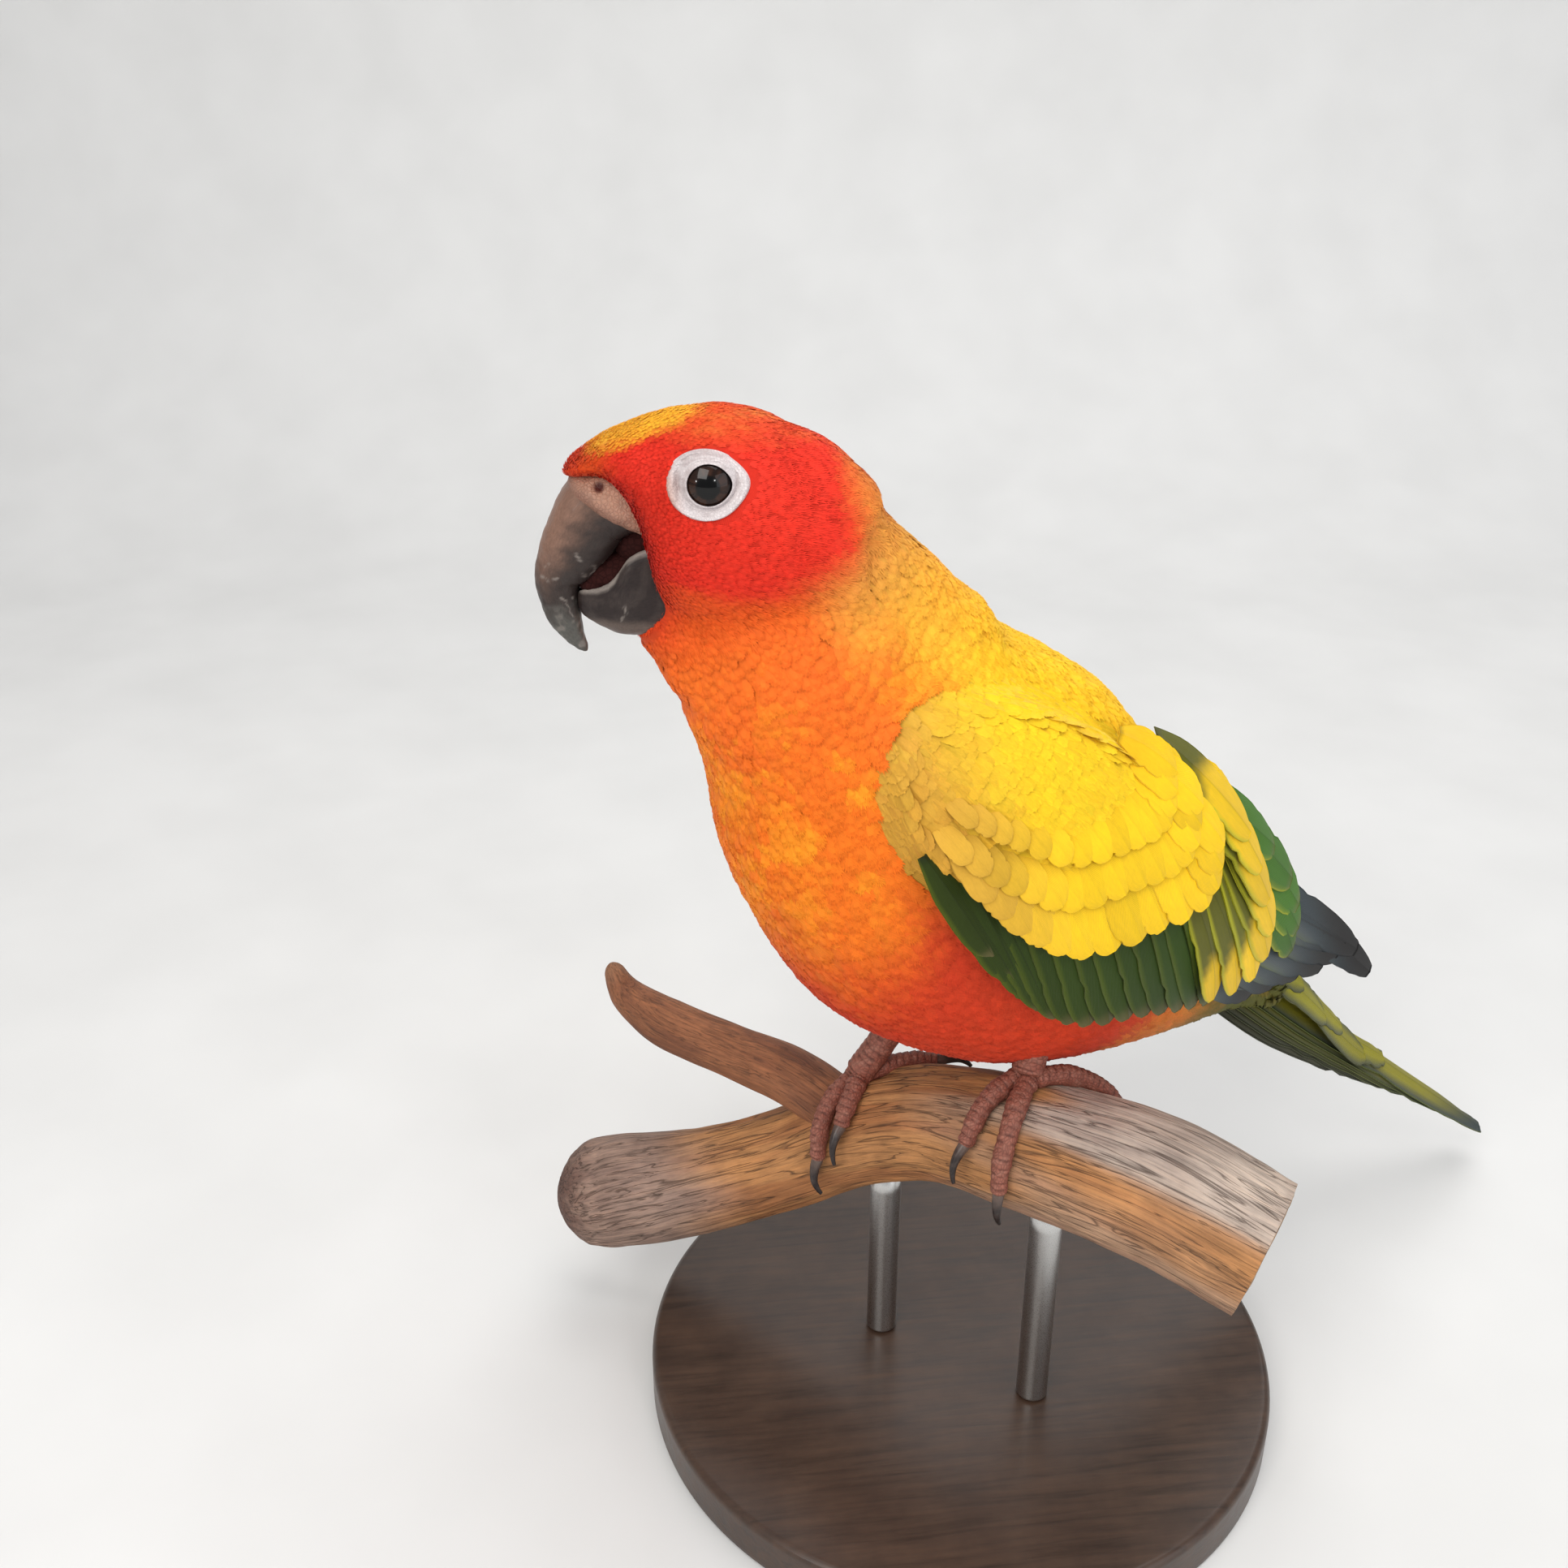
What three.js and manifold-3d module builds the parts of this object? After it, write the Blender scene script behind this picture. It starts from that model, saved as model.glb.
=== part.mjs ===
// A sun conure gripping a cut length of driftwood, life size, still, on a plain display stand.
// Millimetres, +Z up. The bird faces -Y and its left side is +X.
// The origin is the centre of the underside of the stand's base.
// The bird and its perch are laid out from the middle of the head, in a group of their own.
import * as THREE from "three";
import { mergeVertices } from "three/addons/utils/BufferGeometryUtils.js";
import Module from "manifold-3d";

const wasm = await Module();
wasm.setup();

const gap = 0.3; // clearance between pieces that touch
const weld = 1e-4; // vertices closer than this are one
const headCentre = new THREE.Vector3(0, -52, 188);
const headTurn = THREE.MathUtils.degToRad(-27); // to the bird's right

// Head, in its own frame: x to the bird's left, y backwards from the middle, z up.
// Each row is [y, z, half width, half height] of one upright section, from the forehead to the nape.
const headSections = [
  [-20.8, 4.6, 3.2, 1.0],
  [-19.6, 5.3, 5.4, 1.6],
  [-17.0, 6.2, 7.6, 2.5],
  [-14.0, 7.2, 8.8, 3.3],
  [-11.2, 5.9, 9.9, 5.8],
  [-9.0, 3.6, 10.8, 9.1],
  [-7.2, -0.5, 11.5, 13.8],
  [-5.0, -1.5, 12.1, 15.4],
  [-2.0, -2.3, 12.8, 16.5],
  [2.0, -2.6, 13.4, 17.2],
  [8.5, -3.2, 13.8, 16.6],
  [14.5, -4.6, 12.8, 14.2],
  [20.0, -6.6, 10.6, 10.6],
  [24.5, -8.4, 7.0, 7.0],
];
const chin = { at: [0, -1.5, -18.5], half: [8.2, 10, 7.5] };

// Neck, trunk and rump in one run down the back, rows as above but square to the run.
const trunkSections = [
  [3.5, -4, 10.5, 12.5],
  [8.5, -12, 15.4, 18.2],
  [14.5, -21, 19.0, 21.8],
  [22.5, -33, 22.6, 26.2],
  [31.5, -47.5, 25.4, 32.6],
  [46.5, -65, 26.4, 37.2],
  [65, -80.5, 25.2, 33.8],
  [83.5, -92, 21.2, 25.0],
  [100, -101.5, 15.4, 15.4],
  [114, -109.5, 9.6, 7.6],
  [125, -117, 7.0, 4.2],
];
// Where the body is parted: a point on the mid-plane and the way that the cut faces.
const headCut = { at: [0, 7, -10], facing: [0, 0.478, -0.878] };
const neckCut = { at: [0, 24, -38], facing: [0, 0.6, -0.8] };
const rumpCut = { at: [0, 86, -96], facing: [0, 0.84, -0.54] };

// Upper bill along its curve, rows [y, z, half width, half depth], root first.
const upperBillSections = [
  [-8.5, 0.6, 6.0, 4.4],
  [-11.4, 0.8, 6.4, 4.9],
  [-15.2, -0.4, 6.4, 5.6],
  [-17.9, -4.2, 5.9, 5.2],
  [-20.0, -7.6, 4.9, 4.6],
  [-21.7, -10.6, 3.7, 3.5],
  [-21.8, -13.6, 2.8, 2.9],
  [-21.2, -16.8, 2.2, 2.5],
  [-20.0, -19.8, 1.5, 1.8],
  [-18.6, -21.8, 0.9, 1.0],
];
const lowerBillSections = [
  [-4.5, -12.0, 5.6, 6.9],
  [-8.0, -12.4, 6.0, 6.9],
  [-10.8, -13.1, 5.8, 6.2],
  [-13.2, -14.4, 5.1, 4.6],
  [-15.5, -14.6, 4.2, 3.4],
  [-17.5, -14.4, 3.1, 2.6],
  [-19.2, -14.1, 1.8, 1.6],
];
const billSquareness = 2.7; // 2 is an oval section, more is boxier
const cereCut = { at: [0, -14.8, 0.4], facing: [0, -0.54, -0.84] }; // the cere ends here
const cereRise = 0.5; // the cere stands this much proud of the horn
const nostril = { at: [4.9, -14.4, 3.4], radius: 0.9, depth: 1.6 };

const tongue = { at: [0, -10.5, -9.5], half: [4.2, 7.0, 5.0] };

const eye = { at: [8.6, 0.9, 5.4], radius: 4.3 };
const eyeRing = { at: [11.0, 0.9, 5.5], half: [1.25, 5.4, 4.9], point: 0.22, lean: 0.2 };

// Folded wing. Its surface is laid out on a plane of its own: p runs along the chord from the
// wrist to the longest feather's tip, q runs up across it, both in the bird's mid-plane.
const wrist = [17, -38];
const wingTip = [150, -119];
const chord = Math.hypot(wingTip[0] - wrist[0], wingTip[1] - wrist[1]);
// Rows [p, distance from the mid-plane, q of the crest, half breadth of the bulge].
const wingBulge = [
  [-6, 24.6, 1, 25],
  [18, 29.6, -2, 35],
  [43, 31.0, -7, 41],
  [72, 29.0, -8, 38],
  [100, 20.5, -6, 30],
  [128, 11.0, -3, 24],
  [160, 5.5, 0, 22],
];
const wingPad = { middle: [38, 2.5], length: 40, rise: 19, slope: -0.1, thick: 2.6, sink: 0.1 };
const shingle = 0.7; // how far a vane's lower edge stands over its upper one
const rootSink = 1.6;
// Tiers of the wing, inner ones first: rows [p, q] of tips, rows [angle, length, half width] of vanes.
const wingTiers = [
  {
    count: 6, lift: -0.4, thick: 0.6, steps: 4,
    tips: [[152, 0.8], [133, 6], [134, 0], [121, -4], [104, -8.5]],
    lie: [[-9, 82, 4.4], [4, 66, 5.2], [10, 60, 5.2], [14, 54, 4.8]],
  },
  {
    count: 4, lift: 0.6, thick: 0.6, steps: 4,
    tips: [[110, -2], [108, 4], [101, 10], [92, 14]],
    lie: [[-28, 44, 5.2], [-30, 44, 5.4], [-27, 40, 5.2], [-22, 36, 4.8]],
  },
  {
    count: 8, lift: 0.8, thick: 0.6, steps: 4,
    tips: [[30, -15.5], [40, -18.5], [55, -18.6], [72, -13], [91, -10]],
    lie: [[-26, 24, 4.2], [-28, 28, 5.0], [-30, 30, 5.2], [-31, 34, 5.2]],
  },
  {
    count: 5, lift: 2.2, thick: 0.6, steps: 3,
    tips: [[83, -10], [90, -3], [89, 5], [78, 12.5]],
    lie: [[-30, 26, 4.4], [-34, 28, 4.8], [-31, 28, 4.8], [-26, 26, 4.6]],
  },
  {
    count: 7, lift: 3.2, thick: 0.6, steps: 3,
    tips: [[24, -8.5], [34, -11], [46, -10.4], [56, -3], [66, 3], [66, 11]],
    lie: [[-28, 16, 4.6], [-30, 18, 5.4], [-30, 20, 5.6], [-34, 20, 5.6], [-24, 20, 5.2]],
  },
];

// Tail: pairs of long tapered feathers from under the rump, the middle pair longest.
const tail = {
  root: [104, -105], tip: [201, -179], pairs: 6, shortest: 0.52,
  halfWidth: 5.2, narrowing: 0.4, spread: 3.2, drop: 1.1, roof: 0.3, thick: 0.8,
};

// Driftwood: rows [x, y, z, half width, half height] of its middle line, from the cut end.
const limbSections = [
  [52, 78, -127, 12.2, 12.6],
  [35, 67, -122, 12.6, 13.0],
  [16, 55, -121.5, 12.0, 12.2],
  [0, 46, -124.5, 10.6, 10.8],
  [-12, 37.5, -131.5, 9.8, 10.0],
  [-24, 27, -142, 9.6, 9.8],
  [-38, 13, -153, 10.4, 10.6],
  [-50, 0, -160, 11.6, 11.4],
  [-57, -12, -162, 9.4, 9.4],
];
const twigSections = [
  [-14, 34, -128, 6.2, 6.0],
  [-26, 28, -124.8, 6.0, 5.6],
  [-38, 21, -124.2, 5.4, 5.2],
  [-52, 12, -122.8, 5.2, 5.0],
  [-62, 7, -119.5, 3.6, 3.4],
  [-65, 5, -113.5, 1.6, 1.6],
];
const limbSide = [0.515, -0.857, 0]; // level, square to the limb, towards its front

// Feet: where each stands, as a share of the limb's length, and its toes. A toe starts a shift inward
// along the limb, turns round it by an angle from the top to the front, and drifts inward on the way.
// A foot's reach scales the turns, and its sweep leans the toes along the limb.
const footPlaces = [
  { name: "left", share: 0.258, side: 1, reach: 0.95, sweep: 1 },
  { name: "right", share: 0.475, side: -1, reach: 0.8, sweep: 7 },
];
const toeRadius = 2.0;
const tarsus = { radius: 2.6, rise: 18, back: 9, inward: 5 };
const toes = [
  { name: "front_outer", shift: -2.2, turn: 104, drift: 0.2 },
  { name: "front_inner", shift: 3.0, turn: 72, drift: 2.0 },
  { name: "back_outer", shift: -2.8, turn: -92, drift: -10.0 },
  { name: "back_inner", shift: 2.6, turn: -62, drift: 2.4 },
];
const claw = { radius: 1.15, length: 8.0, sink: 1.0 };

const base = { radius: 62, height: 9, bevel: 1.5, sides: 40 };
const rod = { radius: 3, sides: 16, at: [[20, 4.5], [-9, -12.5]] };

const paint = {
  red: 0xd8321e, orange: 0xe8772a, yellow: 0xf0c420, wing: 0xe2b81e, tail: 0x6b6b1e, ring: 0xdcd0d2,
  eye: 0x2a1a16, horn: 0x4a3d3c, cere: 0xb98a78, foot: 0x8a4a42, claw: 0x2b2828, wood: 0xa46a3a,
  base: 0x2f2722, rod: 0xa8a9ab,
};

const vector = (x, y, z) => new THREE.Vector3(x, y, z);
const sideways = vector(1, 0, 0);
const upwards = vector(0, 0, 1);

// Solid from points and triangles, with its faces turned outwards.
function solidFrom(points, triangles) {
  const faces = Uint32Array.from(triangles);
  const [a, b, c] = [vector(0, 0, 0), vector(0, 0, 0), vector(0, 0, 0)];
  let volume = 0;
  for (let i = 0; i < faces.length; i += 3) {
    a.fromArray(points, 3 * faces[i]);
    b.fromArray(points, 3 * faces[i + 1]);
    c.fromArray(points, 3 * faces[i + 2]);
    volume += a.dot(b.cross(c));
  }
  if (volume < 0) {
    for (let i = 0; i < faces.length; i += 3) {
      [faces[i], faces[i + 1]] = [faces[i + 1], faces[i]];
    }
  }
  return new wasm.Manifold(
    new wasm.Mesh({ numProp: 3, vertProperties: Float32Array.from(points), triVerts: faces }),
  );
}

function toSolid(geometry) {
  const bare = geometry.clone();
  for (const name of Object.keys(bare.attributes)) {
    if (name !== "position") bare.deleteAttribute(name);
  }
  const welded = mergeVertices(bare, weld);
  return solidFrom(welded.attributes.position.array, welded.index.array);
}

function toGeometry(solid) {
  const mesh = solid.getMesh();
  const geometry = new THREE.BufferGeometry();
  geometry.setAttribute("position", new THREE.BufferAttribute(mesh.vertProperties, 3));
  geometry.setIndex(new THREE.BufferAttribute(mesh.triVerts, 1));
  return geometry;
}

function moved(solid, matrix) {
  const geometry = toGeometry(solid).applyMatrix4(matrix);
  return solidFrom(geometry.attributes.position.array, geometry.index.array);
}

const join = (...solids) => solids.reduce((whole, piece) => whole.add(piece));
const cut = (solid, ...tools) => tools.reduce((rest, tool) => rest.subtract(tool), solid);
const mirrored = (solid) => moved(solid, new THREE.Matrix4().makeScale(-1, 1, 1));
const onHead = (solid) => moved(solid, new THREE.Matrix4().makeRotationZ(headTurn));

// The largest closed surface of a solid: loose scraps and sealed hollows go.
function largest(solid) {
  return solid.decompose().reduce((best, body) => (body.volume() > best.volume() ? body : best));
}

function toMesh(name, solid, color, roughness = 0.75, metalness = 0) {
  const geometry = toGeometry(largest(solid));
  geometry.computeVertexNormals();
  const mesh = new THREE.Mesh(geometry, new THREE.MeshStandardMaterial({ color, roughness, metalness }));
  mesh.name = name;
  return mesh;
}

// A rounded body along a run of sections {at, wide, deep}. Its ends close over the shares in round.
// With upright set, every section stands in a plane across the y axis.
function loft(sections, options = {}) {
  const { sides = 20, rings = 16, grow = 0, side = sideways, round = [0.06, 0.06] } = options;
  const { upright = false, squareness = 2 } = options;
  const line = new THREE.CatmullRomCurve3(sections.map((section) => section.at));
  const size = new THREE.CatmullRomCurve3(sections.map(({ wide, deep }) => vector(wide, deep, 0)));
  const geometry = new THREE.CylinderGeometry(1, 1, 1, sides, rings);
  const points = geometry.attributes.position;
  const narrowest = 0.12;
  const ease = (t, share) => (t < share ? Math.sqrt(1 - (1 - t / share) ** 2) : 1);
  for (let i = 0; i < points.count; i += 1) {
    const even = THREE.MathUtils.clamp(0.5 - points.getY(i), 0, 1);
    const t = (1 - Math.cos(Math.PI * even)) / 2;
    const place = line.getPoint(t);
    const along = line.getTangent(THREE.MathUtils.clamp(t, 0.001, 0.999));
    const up = upright ? upwards : vector(0, 0, 0).crossVectors(side, along).normalize();
    const across = upright ? sideways : vector(0, 0, 0).crossVectors(along, up);
    const closing = Math.max(narrowest, Math.min(ease(t, round[0]), ease(1 - t, round[1])));
    const half = size.getPoint(t);
    const [x, z] = [points.getX(i), points.getZ(i)];
    const fill = Math.max(Math.abs(x) ** squareness + Math.abs(z) ** squareness, weld) ** (-1 / squareness);
    const full = x === 0 && z === 0 ? 0 : fill;
    place.addScaledVector(across, x * full * (half.x * closing + grow));
    place.addScaledVector(up, z * full * (half.y * closing + grow));
    if (even === 0) place.addScaledVector(along, -grow);
    if (even === 1) place.addScaledVector(along, grow);
    points.setXYZ(i, place.x, place.y, place.z);
  }
  return toSolid(geometry);
}

const midSections = (rows) => rows.map(([y, z, wide, deep]) => ({ at: vector(0, y, z), wide, deep }));
const freeSections = (rows) => rows.map(([x, y, z, wide, deep]) => ({ at: vector(x, y, z), wide, deep }));

// All that lies beyond a cut, and half the gap on this side of it.
function beyond({ at, facing }, way = 1) {
  const reach = 400;
  const box = new THREE.BoxGeometry(reach, reach, reach);
  box.translate(0, 0, reach / 2 - gap / 2);
  const direction = vector(...facing).normalize().multiplyScalar(way);
  box.applyQuaternion(new THREE.Quaternion().setFromUnitVectors(upwards, direction));
  box.translate(...at);
  return toSolid(box);
}

// A blade from a grid of points: place(along, across, depth) with along 0..1, across -1..1, and
// depth 0 on its outer face and 1 on its inner one. Both faces are split alike.
function blade(place, steps = 4) {
  const tipward = 1.6; // the steps close up towards the tip
  const columns = 1;
  const sheet = new THREE.PlaneGeometry(2, 1, columns, steps);
  const grid = sheet.attributes.position;
  const perFace = grid.count;
  const points = [];
  for (const depth of [0, 1]) {
    for (let i = 0; i < perFace; i += 1) {
      const along = 1 - (0.5 + grid.getY(i)) ** tipward;
      points.push(...place(along, grid.getX(i), depth).toArray());
    }
  }
  const outer = Array.from(sheet.index.array);
  const faces = [...outer];
  for (let i = 0; i < outer.length; i += 3) {
    faces.push(outer[i] + perFace, outer[i + 2] + perFace, outer[i + 1] + perFace);
  }
  const wide = columns + 1;
  const rim = [];
  for (let i = 0; i < columns; i += 1) rim.push(i);
  for (let j = 0; j < steps; j += 1) rim.push(columns + j * wide);
  for (let i = columns; i > 0; i -= 1) rim.push(steps * wide + i);
  for (let j = steps; j > 0; j -= 1) rim.push(j * wide);
  rim.forEach((from, i) => {
    const to = rim[(i + 1) % rim.length];
    faces.push(from, to, from + perFace, to, to + perFace, from + perFace);
  });
  return solidFrom(points, faces);
}

// Half width of a feather at a share of its length: narrow root, full body, rounded tip.
function vaneShape(along) {
  const body = THREE.MathUtils.smoothstep(along, -0.3, 0.4);
  const tip = along > 0.66 ? Math.sqrt(1 - ((along - 0.66) / 0.36) ** 2) : 1;
  return body * tip;
}

// Point of the folded left wing's surface, raised off it by a height.
const bulgeLine = new THREE.CatmullRomCurve3(wingBulge.map(([p, out, crest]) => vector(p, out, crest)));
const bulgeBreadth = new THREE.CatmullRomCurve3(wingBulge.map(([p, , , half]) => vector(p, half, 0)));
function wingPoint(p, q, height = 0) {
  const halvings = 16;
  let low = 0;
  let high = 1;
  for (let i = 0; i < halvings; i += 1) {
    const middle = (low + high) / 2;
    if (bulgeLine.getPoint(middle).x < p) low = middle;
    else high = middle;
  }
  const { y: out, z: crest } = bulgeLine.getPoint(low);
  const breadth = bulgeBreadth.getPoint(low).y;
  const rim = THREE.MathUtils.clamp((q - crest) / breadth, -0.93, 0.93);
  const raised = q + height * rim;
  const cos = (wingTip[0] - wrist[0]) / chord;
  const sin = (wingTip[1] - wrist[1]) / chord;
  const y = wrist[0] + p * cos - raised * sin;
  const z = wrist[1] + p * sin + raised * cos;
  return vector((out + height) * Math.sqrt(1 - rim * rim), y, z);
}

function wingVane({ tip, angle, length, half, lift, thick, steps }) {
  const way = THREE.MathUtils.degToRad(angle);
  const [cos, sin] = [Math.cos(way), Math.sin(way)];
  return blade((along, across, depth) => {
    const back = (1 - along) * length;
    const side = across * half * vaneShape(along);
    const rise = lift - rootSink * (1 - along) ** 2 - shingle * across * vaneShape(along) - depth * thick;
    return wingPoint(tip.x - back * cos - side * sin, tip.y - back * sin + side * cos, rise);
  }, steps);
}

function tierVanes({ count, lift, thick, steps, tips, lie }) {
  const tipLine = new THREE.CatmullRomCurve3(tips.map(([p, q]) => vector(p, q, 0)));
  const lieLine = new THREE.CatmullRomCurve3(lie.map((row) => vector(...row)));
  return Array.from({ length: count }, (_, i) => {
    const share = i / (count - 1);
    const [angle, length, half] = lieLine.getPoint(share).toArray();
    return wingVane({ tip: tipLine.getPoint(share), angle, length, half, lift, thick, steps });
  });
}

// The wing's fleshy part with its small feathers: a lens over the shoulder and flank.
function wingBody() {
  const lens = new THREE.SphereGeometry(1, 16, 8);
  const points = lens.attributes.position;
  for (let i = 0; i < points.count; i += 1) {
    const run = points.getY(i) * wingPad.length;
    const q = wingPad.middle[1] + wingPad.slope * run + points.getZ(i) * wingPad.rise;
    const place = wingPoint(wingPad.middle[0] + run, q, points.getX(i) * wingPad.thick - wingPad.sink);
    points.setXYZ(i, place.x, place.y, place.z);
  }
  return toSolid(lens);
}

const buildWing = () => join(wingBody(), ...wingTiers.flatMap(tierVanes));

function buildTail() {
  const [rootY, rootZ] = tail.root;
  const run = vector(0, tail.tip[0] - rootY, tail.tip[1] - rootZ);
  const full = run.length();
  run.normalize();
  const up = vector(0, 0, 0).crossVectors(sideways, run).normalize();
  if (up.z < 0) up.negate();
  const vanes = [];
  for (let pair = 0; pair < tail.pairs; pair += 1) {
    const share = pair / (tail.pairs - 1);
    const length = full * (1 - (1 - tail.shortest) * share ** 0.8);
    for (const side of [-1, 1]) {
      const out = side * (1.6 + tail.spread * share);
      const below = tail.drop * pair + (side > 0 ? 0 : gap);
      vanes.push(blade((along, across, depth) => {
        const half = tail.halfWidth * (1 - tail.narrowing * along) * vaneShape(along);
        const x = out * (1 - 0.25 * along) + across * half;
        const height = -below * (1 - 0.4 * along) - tail.roof * Math.abs(x) - depth * tail.thick;
        return vector(x, rootY, rootZ).addScaledVector(run, along * length).addScaledVector(up, height);
      }, 5));
    }
  }
  return join(...vanes);
}

function ellipsoid(at, half, sides, rings) {
  const ball = new THREE.SphereGeometry(1, sides, rings);
  ball.scale(...half);
  ball.translate(...at);
  return toSolid(ball);
}

const eyeBall = (grow = 0) => ellipsoid(eye.at, Array(3).fill(eye.radius + grow), 16, 10);

// Bare ring and lids round the eye: a flat oval drawn out to a point behind.
function ringSolid(grow = 0) {
  const lens = new THREE.SphereGeometry(1, 16, 8);
  lens.rotateZ(-Math.PI / 2);
  const points = lens.attributes.position;
  const [out, long, high] = eyeRing.half;
  for (let i = 0; i < points.count; i += 1) {
    const angle = Math.atan2(points.getZ(i), points.getY(i));
    const pull = 1 + eyeRing.point * Math.max(0, Math.cos(angle - 0.2)) ** 6;
    const rise = points.getZ(i) * (high + grow);
    points.setXYZ(i, points.getX(i) * (out + grow) - eyeRing.lean * rise, points.getY(i) * (long * pull + grow), rise);
  }
  lens.translate(...eyeRing.at);
  return toSolid(lens);
}

function nostrilHole() {
  const hole = new THREE.CylinderGeometry(nostril.radius, nostril.radius * 0.6, 2 * nostril.depth, 10);
  hole.rotateZ(-Math.PI / 2.6);
  hole.translate(...nostril.at);
  return toSolid(hole);
}

function upperBill(grow = 0) {
  const shape = { sides: 14, rings: 12, round: [0, 0.05], squareness: billSquareness };
  return loft(midSections(upperBillSections), { ...shape, grow });
}

function lowerBill(grow = 0) {
  const shape = { sides: 14, rings: 8, round: [0, 0.1], upright: true, squareness: billSquareness };
  const horn = loft(midSections(lowerBillSections), { ...shape, grow });
  return join(horn, ellipsoid(tongue.at, tongue.half.map((half) => half + grow), 8, 6));
}

const frontward = vector(...limbSide);
const limbLine = new THREE.CatmullRomCurve3(freeSections(limbSections).map((section) => section.at));
const limbSize = new THREE.CatmullRomCurve3(limbSections.map((row) => vector(row[3], row[4], 0)));

function limb(grow = 0) {
  return loft(freeSections(limbSections), { sides: 14, rings: 20, grow, side: frontward, round: [0, 0.07] });
}

function twig(grow = 0) {
  return loft(freeSections(twigSections), { sides: 10, rings: 10, grow, side: frontward, round: [0, 0.06] });
}

// Point on a ring round the limb: shift is along it towards its far end, angle from its top.
function roundLimb(share, shift, angle, height) {
  const along = limbLine.getTangent(share);
  const half = limbSize.getPoint(share);
  const top = upwards.clone().addScaledVector(along, -along.z).normalize();
  const front = frontward.clone().addScaledVector(along, -frontward.dot(along)).normalize();
  return limbLine.getPoint(share).addScaledVector(along, shift)
    .addScaledVector(top, Math.cos(angle) * (half.y + height))
    .addScaledVector(front, Math.sin(angle) * (half.x + height));
}

function toeSections({ shift, turn, drift }, { share, side, reach, sweep }) {
  const knuckles = 3;
  return [0, 1, 2, 3, 4, 5, 6, 7].map((step) => {
    const t = step / 7;
    const radius = toeRadius * (1 - 0.22 * t) * (1 + 0.1 * Math.cos(t * knuckles * 2 * Math.PI));
    const along = side * (shift * Math.min(1, 0.4 + 1.2 * t) + drift * t) + Math.sign(turn) * sweep * t;
    const angle = THREE.MathUtils.degToRad(turn * reach * t);
    return { at: roundLimb(share, along, angle, toeRadius * 0.85), wide: radius, deep: radius };
  });
}

function footSolids(place) {
  const { share, side } = place;
  const grip = limbLine.getTangent(share);
  const pad = roundLimb(share, 0, 0, toeRadius);
  const legTop = pad.clone().add(vector(-side * tarsus.inward, tarsus.back, tarsus.rise));
  const legSections = [0, 0.35, 0.7, 1].map((t) => ({
    at: pad.clone().lerp(legTop, t),
    wide: tarsus.radius * (1.15 - 0.2 * t),
    deep: tarsus.radius * (1.1 - 0.1 * t),
  }));
  const pieces = [loft(legSections, { sides: 10, rings: 4 })];
  const claws = [];
  for (const toe of toes) {
    const sections = toeSections(toe, place);
    pieces.push(loft(sections, { sides: 7, rings: 8, side: grip, round: [0.08, 0.08] }));
    const [before, last] = sections.slice(-2).map((section) => section.at);
    const way = last.clone().sub(before).normalize();
    const inward = limbLine.getPoint(share).sub(last).normalize();
    const run = [0, 0.3, 0.6, 0.85, 1].map((t) => ({
      at: last.clone().addScaledVector(way, claw.length * t - claw.sink)
        .addScaledVector(inward, 0.8 * t * t + 0.2 - 1.4 * Math.sin(Math.PI * t * 0.9)),
      wide: claw.radius * (1 - 0.72 * t),
      deep: 1.15 * claw.radius * (1 - 0.7 * t),
    }));
    claws.push({ name: toe.name, run, side: grip });
  }
  return { foot: join(...pieces), claws };
}

const clawSolid = ({ run, side }, grow = 0) => loft(run, { sides: 6, rings: 5, side, grow, round: [0.1, 0] });

const bird = new THREE.Group();
bird.position.copy(headCentre);

// Head and trunk are one form, hollowed for the bill and eyes and parted by thin cuts.
const headForm = join(
  loft(midSections(headSections), { sides: 20, rings: 15, round: [0.05, 0.05], upright: true }),
  ellipsoid(chin.at, chin.half, 10, 6),
);
const head = onHead(headForm);
const trunk = (grow = 0) => loft(midSections(trunkSections), { sides: 20, rings: 18, grow, round: [0.04, 0.03] });
const bill = onHead(join(upperBill(gap + cereRise), lowerBill(gap)));
const eyeRoom = join(eyeBall(gap), ringSolid(gap));
const body = cut(join(head, trunk()), bill, onHead(eyeRoom), onHead(mirrored(eyeRoom)));
bird.add(toMesh("head", cut(body, beyond(headCut)), paint.red, 0.85));
bird.add(toMesh("neck", cut(body, beyond(headCut, -1), beyond(neckCut)), paint.orange, 0.85));
bird.add(toMesh("torso", cut(body, beyond(neckCut, -1), beyond(rumpCut)), paint.orange, 0.85));
bird.add(toMesh("rump", cut(body, beyond(rumpCut, -1)), paint.yellow, 0.85));

const wing = largest(cut(buildWing(), trunk(gap), head));
bird.add(toMesh("wing_left", wing, paint.wing));
bird.add(toMesh("wing_right", mirrored(wing), paint.wing));
bird.add(toMesh("tail", cut(buildTail(), trunk(gap), wing, mirrored(wing)), paint.tail));

const ring = cut(ringSolid(), eyeBall(gap));
bird.add(toMesh("eye_ring_left", onHead(ring), paint.ring, 0.6));
bird.add(toMesh("eye_ring_right", onHead(mirrored(ring)), paint.ring, 0.6));
bird.add(toMesh("eye_left", onHead(eyeBall()), paint.eye, 0.08));
bird.add(toMesh("eye_right", onHead(mirrored(eyeBall())), paint.eye, 0.08));
const cere = cut(upperBill(cereRise), beyond(cereCut), nostrilHole(), mirrored(nostrilHole()));
bird.add(toMesh("cere", onHead(cere), paint.cere, 0.6));
bird.add(toMesh("bill_upper", onHead(cut(upperBill(), beyond(cereCut, -1))), paint.horn, 0.4));
bird.add(toMesh("bill_lower", onHead(cut(lowerBill(), upperBill(gap + cereRise))), paint.horn, 0.4));

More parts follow.
